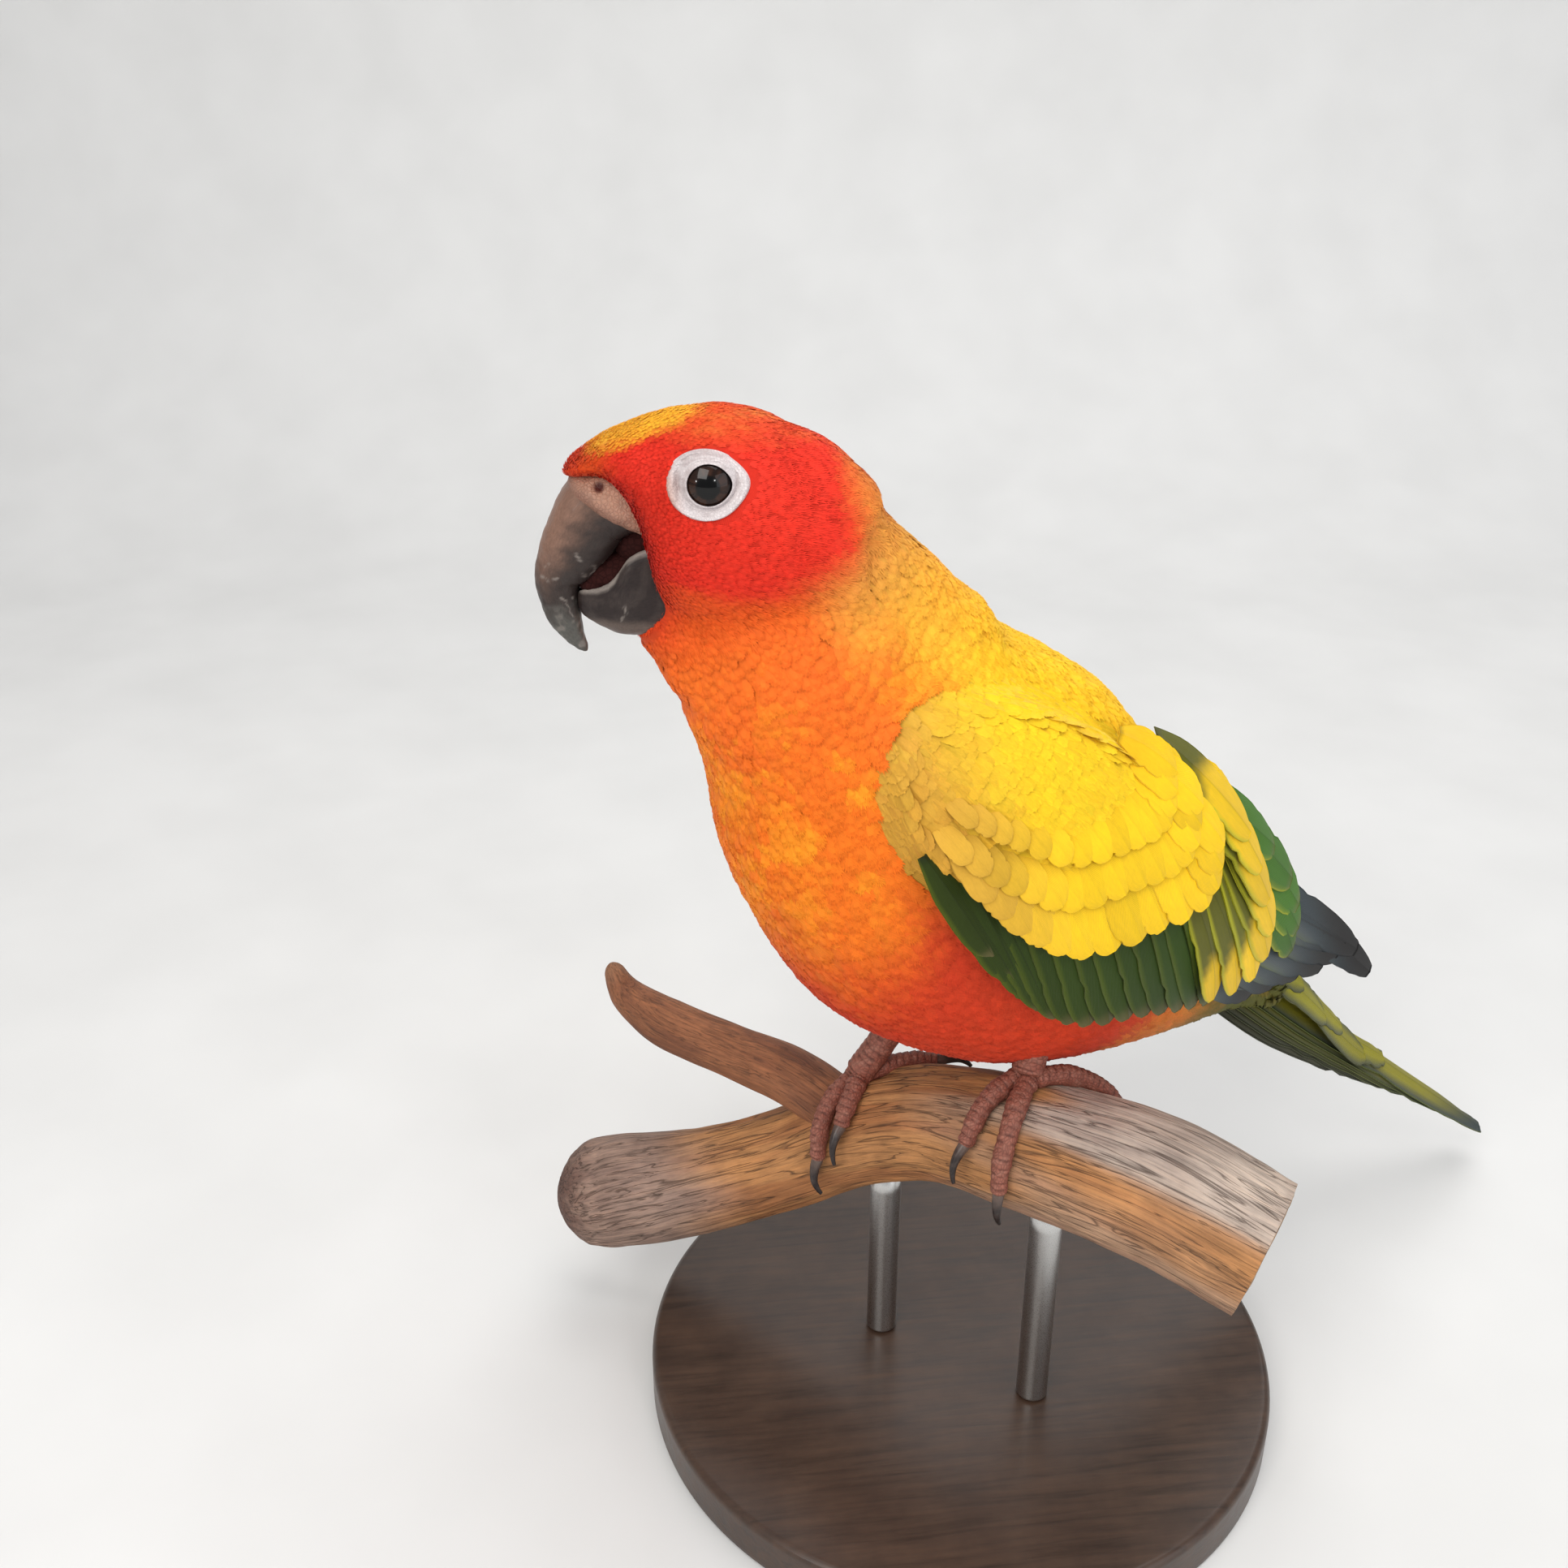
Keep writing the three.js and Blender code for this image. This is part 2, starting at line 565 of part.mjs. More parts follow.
for (const place of footPlaces) {
  const { foot, claws } = footSolids(place);
  const clawRoom = claws.map((one) => clawSolid(one, gap));
  const clear = cut(foot, limb(gap), twig(gap), trunk(gap), ...clawRoom);
  bird.add(toMesh(`foot_${place.name}`, clear, paint.foot));
  for (const one of claws) {
    const solid = cut(clawSolid(one), limb(gap), twig(gap));
    bird.add(toMesh(`claw_${place.name}_${one.name}`, solid, paint.claw, 0.4));
  }
}
bird.add(toMesh("perch_limb", limb(), paint.wood, 0.8));
bird.add(toMesh("perch_twig", cut(twig(), limb(gap)), paint.wood, 0.8));

const stand = new THREE.Group();
const baseProfile = [
  [0, 0], [base.radius, 0], [base.radius, base.height - base.bevel],
  [base.radius - base.bevel, base.height], [0, base.height],
].map(([r, z]) => new THREE.Vector2(r, z));
const plate = new THREE.LatheGeometry(baseProfile, base.sides);
plate.rotateX(Math.PI / 2);
stand.add(toMesh("stand_base", toSolid(plate), paint.base, 0.5));

// A rod runs up from the base until it meets the limb.
const limbInPlace = moved(limb(gap), new THREE.Matrix4().setPosition(headCentre));
rod.at.forEach(([x, y], i) => {
  const reach = headCentre.z;
  const bar = new THREE.CylinderGeometry(rod.radius, rod.radius, reach, rod.sides);
  bar.rotateX(Math.PI / 2);
  bar.translate(x, y, base.height + gap + reach / 2);
  const lengths = cut(toSolid(bar), limbInPlace).decompose();
  const lowest = lengths.reduce((a, b) => (a.boundingBox().min[2] < b.boundingBox().min[2] ? a : b));
  stand.add(toMesh(`stand_rod_${i + 1}`, lowest, paint.rod, 0.3, 1));
});

const group = new THREE.Group();
group.add(bird, stand);
export default group;
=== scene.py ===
import math
import bpy
import numpy as np
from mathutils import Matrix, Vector
from mathutils.bvhtree import BVHTree


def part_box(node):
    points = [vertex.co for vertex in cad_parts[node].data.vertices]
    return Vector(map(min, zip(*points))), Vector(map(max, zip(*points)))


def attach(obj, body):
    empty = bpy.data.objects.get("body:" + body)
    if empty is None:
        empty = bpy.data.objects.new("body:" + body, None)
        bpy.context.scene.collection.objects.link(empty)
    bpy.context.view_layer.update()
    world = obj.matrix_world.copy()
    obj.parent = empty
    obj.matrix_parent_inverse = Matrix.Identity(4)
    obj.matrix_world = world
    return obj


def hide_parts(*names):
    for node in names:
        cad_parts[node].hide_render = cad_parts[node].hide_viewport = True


# The looks of a sun conure on driftwood. Shapes are laid out in millimetres from the middle of
# the head, as the solids are: the bird faces -y, its left side is +x. Meshes are made in metres.
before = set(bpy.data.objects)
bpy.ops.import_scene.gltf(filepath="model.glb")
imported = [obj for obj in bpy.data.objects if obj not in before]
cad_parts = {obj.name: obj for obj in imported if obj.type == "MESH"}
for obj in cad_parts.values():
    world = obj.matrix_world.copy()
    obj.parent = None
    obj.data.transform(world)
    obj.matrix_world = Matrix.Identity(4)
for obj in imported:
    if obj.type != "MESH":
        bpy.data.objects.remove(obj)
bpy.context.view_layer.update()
mm = 0.001
headCentre = np.array([0, -52, 188.0])
headTurn = math.radians(-27)

# Camera, light and floor
cameraSetup = {"place": (0.2019, -0.1424, 0.2467), "heading": 63, "down": 25, "lens": 36.15,
               "sensor": 36}


def addCamera():
    data = bpy.data.cameras.new("camera")
    data.sensor_width = cameraSetup["sensor"]
    data.lens = cameraSetup["lens"]
    camera = bpy.data.objects.new("camera", data)
    camera.location = cameraSetup["place"]
    camera.rotation_euler = (
        math.radians(90 - cameraSetup["down"]), 0, math.radians(cameraSetup["heading"]))
    bpy.context.scene.collection.objects.link(camera)
    bpy.context.scene.camera = camera


lights = [
    {"name": "window", "place": (0.55, -0.75, 0.85), "size": 0.7, "power": 9.0, "colour": (1, 0.97, 0.93)},
    {"name": "overhead", "place": (0.1, 0.1, 1.1), "size": 0.9, "power": 6.0, "colour": (1, 0.98, 0.96)},
    {"name": "fill", "place": (0.9, 0.35, 0.35), "size": 0.8, "power": 3.0, "colour": (0.93, 0.96, 1)},
    {"name": "behind", "place": (-0.6, 0.6, 0.7), "size": 0.8, "power": 3.5, "colour": (1, 1, 1)},
    {"name": "sparkle", "place": (0.88, -0.11, 0.40), "size": 0.07, "power": 0.6, "colour": (1, 1, 1)},
    {"name": "glint", "place": (0.22, -0.77, 0.29), "size": 0.06, "power": 0.4, "colour": (1, 1, 1)},
]


studio = {"aim": (0, 0, 0.13), "sky": (0.9, 0.93, 1, 1), "skyStrength": 0.30}


def addLights():
    for light in lights:
        data = bpy.data.lights.new(light["name"], "AREA")
        data.size = light["size"]
        data.energy = light["power"]
        data.color = light["colour"]
        lamp = bpy.data.objects.new(light["name"], data)
        lamp.location = light["place"]
        aim = Vector(studio["aim"]) - Vector(light["place"])
        lamp.rotation_euler = aim.to_track_quat("-Z", "Y").to_euler()
        bpy.context.scene.collection.objects.link(lamp)
    world = bpy.data.worlds.new("studio")
    world.use_nodes = True
    sky = world.node_tree.nodes["Background"]
    sky.inputs["Color"].default_value = studio["sky"]
    sky.inputs["Strength"].default_value = studio["skyStrength"]
    bpy.context.scene.world = world
    bpy.context.scene.view_settings.view_transform = "Standard"


# Small sums
def unit(v):
    return v / np.maximum(np.linalg.norm(v, axis=-1, keepdims=True), 1e-9)


def smooth(low, high, x):
    t = np.clip((x - low) / (high - low), 0, 1)
    return t * t * (3 - 2 * t)


def mix(a, b, share):
    share = np.asarray(share, float)[..., None]
    return np.asarray(a, float) * (1 - share) + np.asarray(b, float) * share


def turned(points, angle):
    cos, sin = math.cos(angle), math.sin(angle)
    x, y, z = points[..., 0], points[..., 1], points[..., 2]
    return np.stack([cos * x - sin * y, sin * x + cos * y, z], -1)


def toHead(points):
    return turned(points, -headTurn)


def fromHead(points):
    return turned(points, headTurn)


def mottle(points, size, seed):
    # soft patches between -1 and 1, about one size across
    waves = np.random.default_rng(seed)
    total = np.zeros(points.shape[:-1])
    for octave in (1.0, 1.9, 3.3):
        for _ in range(4):
            way = unit(waves.normal(size=3)) * octave * 2 * math.pi / (2.2 * size)
            total += np.sin(points @ way + waves.uniform(0, 6.28)) / octave
    return np.clip(total / 3.2, -1, 1)


def runAlong(rows, t):
    # centripetal curve through rows, at shares t of its length
    rows = np.asarray(rows, float)
    last = len(rows) - 1
    place = np.clip(t, 0, 1) * last
    index = np.minimum(place.astype(int), last - 1)
    share = (place - index)[:, None]
    padded = np.vstack([2 * rows[0] - rows[1], rows, 2 * rows[-1] - rows[-2]])
    p0, p1, p2, p3 = (padded[index + i] for i in range(4))
    d0, d1, d2 = (np.maximum(np.sum((b - a) ** 2, axis=1) ** 0.25, 1e-4)[:, None]
                  for a, b in ((p0, p1), (p1, p2), (p2, p3)))
    m1 = ((p1 - p0) / d0 - (p2 - p0) / (d0 + d1) + (p2 - p1) / d1) * d1
    m2 = ((p2 - p1) / d1 - (p3 - p1) / (d1 + d2) + (p3 - p2) / d2) * d1
    return (p1 + m1 * share + (3 * (p2 - p1) - 2 * m1 - m2) * share ** 2
            + (2 * (p1 - p2) + m1 + m2) * share ** 3)


# Meshes
class Shape:
    # points in millimetres with their faces, tints, vane places and bake places
    def __init__(self):
        self.points, self.faces, self.tints, self.vanes, self.bakes = [], [], [], [], []
        self.count = 0

    def add(self, points, faces, tint, vane=None, bake=None):
        points = np.asarray(points, float).reshape(-1, 3)
        n = len(points)
        self.points.append(points)
        self.faces += [np.asarray(f).reshape(len(f), -1) + self.count for f in faces if len(f)]
        self.tints.append(np.broadcast_to(np.asarray(tint, float), (n, 3)))
        self.vanes.append(np.zeros((n, 3)) if vane is None else np.asarray(vane).reshape(n, 3))
        self.bakes.append(np.zeros((n, 2)) if bake is None else np.asarray(bake).reshape(n, 2))
        self.count += n

    def mesh(self, name):
        points = (np.vstack(self.points) + headCentre) * mm
        sizes = np.concatenate([np.full(len(f), f.shape[1]) for f in self.faces])
        corners = np.concatenate([f.ravel() for f in self.faces])
        mesh = bpy.data.meshes.new(name)
        mesh.vertices.add(len(points))
        mesh.loops.add(len(corners))
        mesh.polygons.add(len(sizes))
        mesh.vertices.foreach_set("co", points.ravel())
        mesh.loops.foreach_set("vertex_index", corners.astype(np.int32))
        starts = np.concatenate([[0], np.cumsum(sizes)[:-1]])
        mesh.polygons.foreach_set("loop_start", starts.astype(np.int32))
        mesh.update(calc_edges=True)
        mesh.validate()
        mesh.shade_smooth()
        tint = np.ones((len(points), 4))
        tint[:, :3] = np.clip(np.vstack(self.tints), 0, 1)
        mesh.attributes.new("tint", "FLOAT_COLOR", "POINT").data.foreach_set("color", tint.ravel())
        vane = mesh.attributes.new("vane", "FLOAT_VECTOR", "POINT")
        vane.data.foreach_set("vector", np.vstack(self.vanes).ravel())
        loops = np.zeros(len(mesh.loops), np.int32)
        mesh.loops.foreach_get("vertex_index", loops)
        bake = np.vstack(self.bakes)
        mesh.uv_layers.new(name="OFBake").data.foreach_set("uv", bake[loops].ravel())
        return mesh


def addPiece(name, shape, material, replaced=()):
    mesh = shape.mesh(name)
    mesh.materials.append(material)
    piece = bpy.data.objects.new(name, mesh)
    bpy.context.scene.collection.objects.link(piece)
    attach(piece, "root")
    if replaced:
        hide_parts(*replaced)


def gridFaces(rows, columns, closed=False):
    # quads of a grid of points, row after row
    wide = columns if closed else columns - 1
    r, c = np.meshgrid(np.arange(rows - 1), np.arange(wide), indexing="ij")
    right = (c + 1) % columns
    return np.stack([r * columns + c, r * columns + right, (r + 1) * columns + right,
                     (r + 1) * columns + c], -1).reshape(-1, 4)


def gridPlaces(rows, columns, cell=(0, 0, 1, 1)):
    # bake places of a grid, spread over one cell of the page
    v, u = np.meshgrid(np.linspace(0.02, 0.98, rows), np.linspace(0.02, 0.98, columns), indexing="ij")
    return np.stack([cell[0] + u * cell[2], cell[1] + v * cell[3]], -1).reshape(-1, 2)


def atlasCell(index, across, high):
    return (index % across) / across, (index // across) / high, 1 / across, 1 / high


def loftGrid(sections, sides, rings, side=(1, 0, 0), ends=(0.06, 0.06), upright=False, squareness=2.0):
    # rings of points round a run of sections [x, y, z, half width, half height], with the share
    # of the run at each ring and the angle of each point round it
    rows = np.asarray(sections, float)
    t = (1 - np.cos(math.pi * np.linspace(0, 1, rings + 1))) / 2
    place = runAlong(rows[:, :3], t)
    step = np.clip(t, 0.001, 0.999)
    along = unit(runAlong(rows[:, :3], step + 0.001) - runAlong(rows[:, :3], step - 0.001))
    half = runAlong(np.column_stack([rows[:, 3:5], np.zeros(len(rows))]), t)
    if upright:
        up = np.tile([0.0, 0, 1], (len(t), 1))
        across = np.tile([1.0, 0, 0], (len(t), 1))
    else:
        up = unit(np.cross(np.asarray(side, float), along))
        across = np.cross(along, up)

    def ease(t, share):
        return np.sqrt(1 - (1 - np.minimum(t / share, 1)) ** 2) if share > 0 else np.ones(len(t))
    closing = np.maximum(0.12, np.minimum(ease(t, ends[0]), ease(1 - t, ends[1])))
    around = np.linspace(0, 2 * math.pi, sides, endpoint=False)
    x, z = np.sin(around), np.cos(around)
    full = np.maximum(np.abs(x) ** squareness + np.abs(z) ** squareness, 1e-4) ** (-1 / squareness)
    wide = (half[:, 0] * closing)[:, None, None] * (x * full)[None, :, None]
    deep = (half[:, 1] * closing)[:, None, None] * (z * full)[None, :, None]
    points = place[:, None] + across[:, None] * wide + up[:, None] * deep
    return points, t, around


def tubeFaces(rings, sides):
    # quads round the tube and a fan at each end; the two end points come after the grid
    quads = gridFaces(rings, sides, closed=True)
    c = np.arange(sides)
    n = rings * sides
    first = np.stack([np.full(sides, n), (c + 1) % sides, c], -1)
    last = np.stack([np.full(sides, n + 1), n - sides + c, n - sides + (c + 1) % sides], -1)
    return quads, np.vstack([first, last])


def closeTube(points):
    flat = points.reshape(-1, 3)
    return np.vstack([flat, points[0].mean(0), points[-1].mean(0)])


def tubePlaces(rings, sides, cell=(0, 0, 1, 1)):
    grid = gridPlaces(rings, sides, cell)
    return np.vstack([grid, grid[:sides].mean(0), grid[-sides:].mean(0)])


def addTube(shape, points, tint, vane=None, cell=(0, 0, 1, 1)):
    rings, sides = points.shape[:2]
    if np.ndim(tint) == 3:
        tint = closeTube(tint)
    if vane is not None:
        vane = closeTube(vane)
    shape.add(closeTube(points), tubeFaces(rings, sides), tint, vane, tubePlaces(rings, sides, cell))


def outwards(points):
    # the way out from a tube's middle line
    return unit(points - points.mean(1, keepdims=True))


def runOf(points):
    # mm along a tube to each of its rings
    return np.concatenate([[0], np.cumsum(np.linalg.norm(np.diff(points.mean(1), axis=0), axis=1))])


def roundPlaces(points, around, size=None):
    # mm round and along a tube, for its streaks
    if size is None:
        size = np.linalg.norm(points - points.mean(1, keepdims=True), axis=2).mean(1)
    return np.stack([np.outer(size, np.sin(around)), runOf(points)[:, None] + 0 * around,
                     np.outer(size, np.cos(around))], -1)


def onPage(across, along):
    # bake places, kept a little inside the page
    return np.clip(np.column_stack([across, along]), 0.002, 0.998)


def ballGrid(at, half, sides=48, rings=24):
    turn = np.linspace(0, 2 * math.pi, sides, endpoint=False)
    tilt = np.linspace(0.02, math.pi - 0.02, rings)
    ball = np.stack([np.outer(np.sin(tilt), np.cos(turn)), np.outer(np.sin(tilt), np.sin(turn)),
                     np.outer(np.cos(tilt), np.ones(sides))], -1)
    return ball * np.asarray(half, float) + np.asarray(at, float)


# Materials
def newGroup(name, inputs, outputs):
    group = bpy.data.node_groups.new(name, "ShaderNodeTree")
    for label, kind, value in inputs:
        socket = group.interface.new_socket(label, in_out="INPUT", socket_type="NodeSocket" + kind)
        if value is not None:
            socket.default_value = value
    for label, kind in outputs:
        group.interface.new_socket(label, in_out="OUTPUT", socket_type="NodeSocket" + kind)
    return group, group.nodes.new("NodeGroupInput"), group.nodes.new("NodeGroupOutput")


def feed(tree, node, values):
    # links or constants for a node's inputs
    for label, value in values.items():
        if isinstance(value, bpy.types.NodeSocket):
            tree.links.new(value, node.inputs[label])
        else:
            node.inputs[label].default_value = value
    return node


def put(tree, kind, values, **settings):
    node = tree.nodes.new("ShaderNode" + kind)
    for label, value in settings.items():
        setattr(node, label, value)
    return feed(tree, node, values)


def sums(tree, operation, a, b=None, c=None):
    values = {i: v for i, v in enumerate((a, b, c)) if v is not None}
    return put(tree, "Math", values, operation=operation).outputs[0]


def ramp(tree, factor, stops):
    node = put(tree, "ValToRGB", {"Fac": factor})
    while len(node.color_ramp.elements) < len(stops):
        node.color_ramp.elements.new(0.5)
    for element, (position, colour) in zip(node.color_ramp.elements, stops):
        element.position = position
        element.color = (*colour, 1)
    return node.outputs["Color"]


def blendColour(tree, factor, a, b, kind="MIX"):
    return put(tree, "Mix", {0: factor, 6: a, 7: b}, data_type="RGBA", blend_type=kind).outputs[2]


def shaded(tree, tint, keep):
    # a tint with a share of its light kept
    grey = put(tree, "CombineColor", {0: keep, 1: keep, 2: keep})
    return blendColour(tree, 1.0, tint, grey.outputs[0], "MULTIPLY")


def makeBarbGroup():
    # fine slanting barbs of a vane, from its place across (x) and along (y); z tells vanes apart
    group, inside, out = newGroup(
        "featherBarbs",
        [("Tint", "Color", (0.5, 0.5, 0.5, 1)), ("Vane", "Vector", None), ("Count", "Float", 60.0),
         ("Slant", "Float", 0.5), ("Shade", "Float", 0.2)],
        [("Color", "Color"), ("Height", "Float")])
    parts = put(group, "SeparateXYZ", {0: inside.outputs["Vane"]})
    across = sums(group, "ABSOLUTE", parts.outputs[0])
    slanted = sums(group, "MULTIPLY_ADD", across, sums(group, "MULTIPLY", inside.outputs["Slant"], -1.0),
                   parts.outputs[1])
    uneven = put(group, "TexNoise", {"Vector": inside.outputs["Vane"], "Scale": 3.0, "Detail": 3.0})
    bent = sums(group, "MULTIPLY_ADD", uneven.outputs[0], 0.03, slanted)
    wave = sums(group, "SINE", sums(group, "MULTIPLY", sums(group, "MULTIPLY", bent,
                                                           inside.outputs["Count"]), 6.283))
    stripe = sums(group, "MULTIPLY_ADD", wave, 0.5, 0.5)
    coarse = put(group, "TexNoise", {"Vector": inside.outputs["Vane"], "Scale": 9.0, "Detail": 2.0})
    dark = sums(group, "MULTIPLY", inside.outputs["Shade"],
                sums(group, "MULTIPLY_ADD", coarse.outputs[0], 0.9, sums(group, "MULTIPLY", stripe, 0.55)))
    tinted = shaded(group, inside.outputs["Tint"], sums(group, "SUBTRACT", 1.12, dark))
    group.links.new(tinted, out.inputs["Color"])
    group.links.new(stripe, out.inputs["Height"])
    return group


def makeGrainGroup():
    # wood grain: long fibres, dark checks and soft stains, from a place x round and y along, in mm
    group, inside, out = newGroup(
        "woodGrain",
        [("Place", "Vector", None), ("Fibre", "Float", 1.0), ("Stretch", "Float", 0.06),
         ("Checks", "Float", 0.5)],
        [("Fibres", "Float"), ("Cracks", "Float"), ("Stain", "Float"), ("Height", "Float")])
    parts = put(group, "SeparateXYZ", {0: inside.outputs["Place"]})
    along = sums(group, "MULTIPLY", parts.outputs[1], inside.outputs["Stretch"])
    drawn = put(group, "CombineXYZ", {0: parts.outputs[0], 1: along, 2: parts.outputs[2]})
    scaled = put(group, "VectorMath", {0: drawn.outputs[0]}, operation="SCALE")
    group.links.new(inside.outputs["Fibre"], scaled.inputs["Scale"])
    fibres = put(group, "TexNoise", {"Vector": scaled.outputs[0], "Scale": 1.6, "Detail": 6.0,
                                     "Roughness": 0.62, "Distortion": 0.4})
    checks = put(group, "TexNoise", {"Vector": scaled.outputs[0], "Scale": 0.55, "Detail": 3.0,
                                     "Roughness": 0.5, "Distortion": 0.8})
    line = sums(group, "ABSOLUTE", sums(group, "SUBTRACT", checks.outputs[0], 0.5))
    crack = sums(group, "MULTIPLY", sums(group, "SUBTRACT", 1.0, sums(group, "MULTIPLY", line, 42.0)),
                 inside.outputs["Checks"])
    crack = put(group, "Clamp", {0: crack}).outputs[0]
    stain = put(group, "TexNoise", {"Vector": inside.outputs["Place"], "Scale": 0.09, "Detail": 4.0,
                                    "Roughness": 0.6})
    height = sums(group, "SUBTRACT", fibres.outputs[0], sums(group, "MULTIPLY", crack, 1.4))
    for label, value in (("Fibres", fibres.outputs[0]), ("Cracks", crack), ("Stain", stain.outputs[0]),
                         ("Height", height)):
        group.links.new(value, out.inputs[label])
    return group


def makeHideGroup():
    # bare skin and scales: small cells with lines between them, and uneven colour
    group, inside, out = newGroup(
        "bareHide",
        [("Tint", "Color", (0.5, 0.4, 0.4, 1)), ("Place", "Vector", None), ("Cells", "Float", 1.2),
         ("Lines", "Float", 0.4), ("Blotch", "Float", 0.3)],
        [("Color", "Color"), ("Height", "Float")])
    cells = put(group, "TexVoronoi", {"Vector": inside.outputs["Place"], "Randomness": 0.8},
                feature="DISTANCE_TO_EDGE")
    group.links.new(inside.outputs["Cells"], cells.inputs["Scale"])
    swell = put(group, "Clamp", {0: sums(group, "MULTIPLY", cells.outputs[0], 5.0)}).outputs[0]
    line = sums(group, "MULTIPLY", sums(group, "SUBTRACT", 1.0, swell), inside.outputs["Lines"])
    blotch = put(group, "TexNoise", {"Vector": inside.outputs["Place"], "Scale": 0.5, "Detail": 5.0})
    fine = put(group, "TexNoise", {"Vector": inside.outputs["Place"], "Scale": 4.0, "Detail": 3.0})
    uneven = sums(group, "MULTIPLY", sums(group, "SUBTRACT", blotch.outputs[0], 0.5),
                  inside.outputs["Blotch"])
    keep = sums(group, "ADD", sums(group, "SUBTRACT", 1.0, line), uneven)
    group.links.new(shaded(group, inside.outputs["Tint"], keep), out.inputs["Color"])
    group.links.new(sums(group, "MULTIPLY_ADD", fine.outputs[0], 0.35, swell), out.inputs["Height"])
    return group


# Depths of the bumps in metres
bumpDepths = {"barbs": 0.0002, "hide": 0.0003, "wood": 0.0006, "horn": 0.0002, "steel": 0.0001}
barbGroup = makeBarbGroup()
grainGroup = makeGrainGroup()
hideGroup = makeHideGroup()


def newMaterial(name, constants):
    material = bpy.data.materials.new(name)
    material.use_nodes = True
    tree = material.node_tree
    shader = tree.nodes["Principled BSDF"]
    for label, value in constants.items():
        shader.inputs[label].default_value = value
    return material, tree, shader


def placeGroup(tree, group, values):
    node = tree.nodes.new("ShaderNodeGroup")
    node.node_tree = group
    return feed(tree, node, values)


def bumpFrom(tree, shader, height, strength, kind):
    bump = put(tree, "Bump", {"Height": height, "Strength": strength, "Distance": bumpDepths[kind]})
    tree.links.new(bump.outputs["Normal"], shader.inputs["Normal"])


def readMap(tree, name):
    node = put(tree, "Attribute", {}, attribute_name=name)
    return node.outputs["Vector" if name == "vane" else "Color"]


def featherMaterial(name, count, shade, roughness, bump):
    material, tree, shader = newMaterial(
        name, {"Roughness": roughness, "Sheen Weight": 0.03, "Sheen Roughness": 0.5,
               "Specular IOR Level": 0.14})
    barbs = placeGroup(tree, barbGroup, {"Tint": readMap(tree, "tint"), "Vane": readMap(tree, "vane"),
                                         "Count": count, "Slant": 0.5, "Shade": shade})
    tree.links.new(barbs.outputs["Color"], shader.inputs["Base Color"])
    if bump:
        bumpFrom(tree, shader, barbs.outputs["Height"], bump, "barbs")
    return material


def hideMaterial(name, cells, lines, blotch, roughness, bump, gloss=0.35):
    material, tree, shader = newMaterial(
        name, {"Roughness": roughness, "Specular IOR Level": gloss})
    hide = placeGroup(tree, hideGroup, {"Tint": readMap(tree, "tint"), "Place": readMap(tree, "vane"),
                                        "Cells": cells, "Lines": lines, "Blotch": blotch})
    tree.links.new(hide.outputs["Color"], shader.inputs["Base Color"])
    bumpFrom(tree, shader, hide.outputs["Height"], bump, "hide")
    return material


# The bird's body line and sections, as in the solids
headSections = [
    [-20.8, 4.6, 3.2, 1.0], [-19.6, 5.3, 5.4, 1.6], [-17.0, 6.2, 7.6, 2.5], [-14.0, 7.2, 8.8, 3.3],
    [-11.2, 5.9, 9.9, 5.8], [-9.0, 3.6, 10.8, 9.1], [-7.2, -0.5, 11.5, 13.8], [-5.0, -1.5, 12.1, 15.4],
    [-2.0, -2.3, 12.8, 16.5], [2.0, -2.6, 13.4, 17.2], [8.5, -3.2, 13.8, 16.6], [14.5, -4.6, 12.8, 14.2],
    [20.0, -6.6, 10.6, 10.6], [24.5, -8.4, 7.0, 7.0],
]
chin = {"at": (0, -1.5, -18.5), "half": (8.2, 10, 7.5), "throatAt": (0, 1, -24), "throatHalf": (8.5, 9.4, 8)}
trunkSections = [
    [3.5, -4, 10.5, 12.5], [8.5, -12, 15.4, 18.2], [14.5, -21, 19.0, 21.8], [22.5, -33, 22.6, 26.2],
    [31.5, -47.5, 25.4, 32.6], [46.5, -65, 26.4, 37.2], [65, -80.5, 25.2, 33.8], [83.5, -92, 21.2, 25.0],
    [100, -101.5, 15.4, 15.4], [114, -109.5, 9.6, 7.6], [125, -117, 7.0, 4.2],
]
headCut = {"at": (0, 7, -10), "facing": (0, 0.478, -0.878)}


def midRows(rows):
    return [[0, y, z, wide, deep] for y, z, wide, deep in rows]


# The folded left wing's plane: p runs from the wrist to the longest tip, q up across it
wrist = np.array([17.0, -38.0])
wingTip = np.array([150.0, -119.0])
chord = np.linalg.norm(wingTip - wrist)
chordCos, chordSin = (wingTip - wrist) / chord
wingBulge = [
    [-6, 24.6, 1, 25], [18, 29.6, -2, 35], [43, 31.0, -7, 41], [72, 29.0, -8, 38],
    [100, 20.5, -6, 30], [128, 11.0, -3, 24], [160, 5.5, 0, 22],
]
bulgeShares = np.linspace(0, 1, 600)
bulgeLine = runAlong([[p, out, crest] for p, out, crest, _ in wingBulge], bulgeShares)
bulgeBreadth = runAlong([[p, half, 0] for p, _, _, half in wingBulge], bulgeShares)[:, 1]


def wingPoint(p, q, height=0.0):
    out = np.interp(p, bulgeLine[:, 0], bulgeLine[:, 1])
    crest = np.interp(p, bulgeLine[:, 0], bulgeLine[:, 2])
    breadth = np.interp(p, bulgeLine[:, 0], bulgeBreadth)
    rim = np.clip((q - crest) / breadth, -0.93, 0.93)
    raised = q + height * rim
    y = wrist[0] + p * chordCos - raised * chordSin
    z = wrist[1] + p * chordSin + raised * chordCos
    return np.stack([(out + height) * np.sqrt(1 - rim * rim), y, z], -1)


def wingPlace(points):
    # p and q of points beside the wing
    y, z = points[..., 1] - wrist[0], points[..., 2] - wrist[1]
    return y * chordCos + z * chordSin, -y * chordSin + z * chordCos


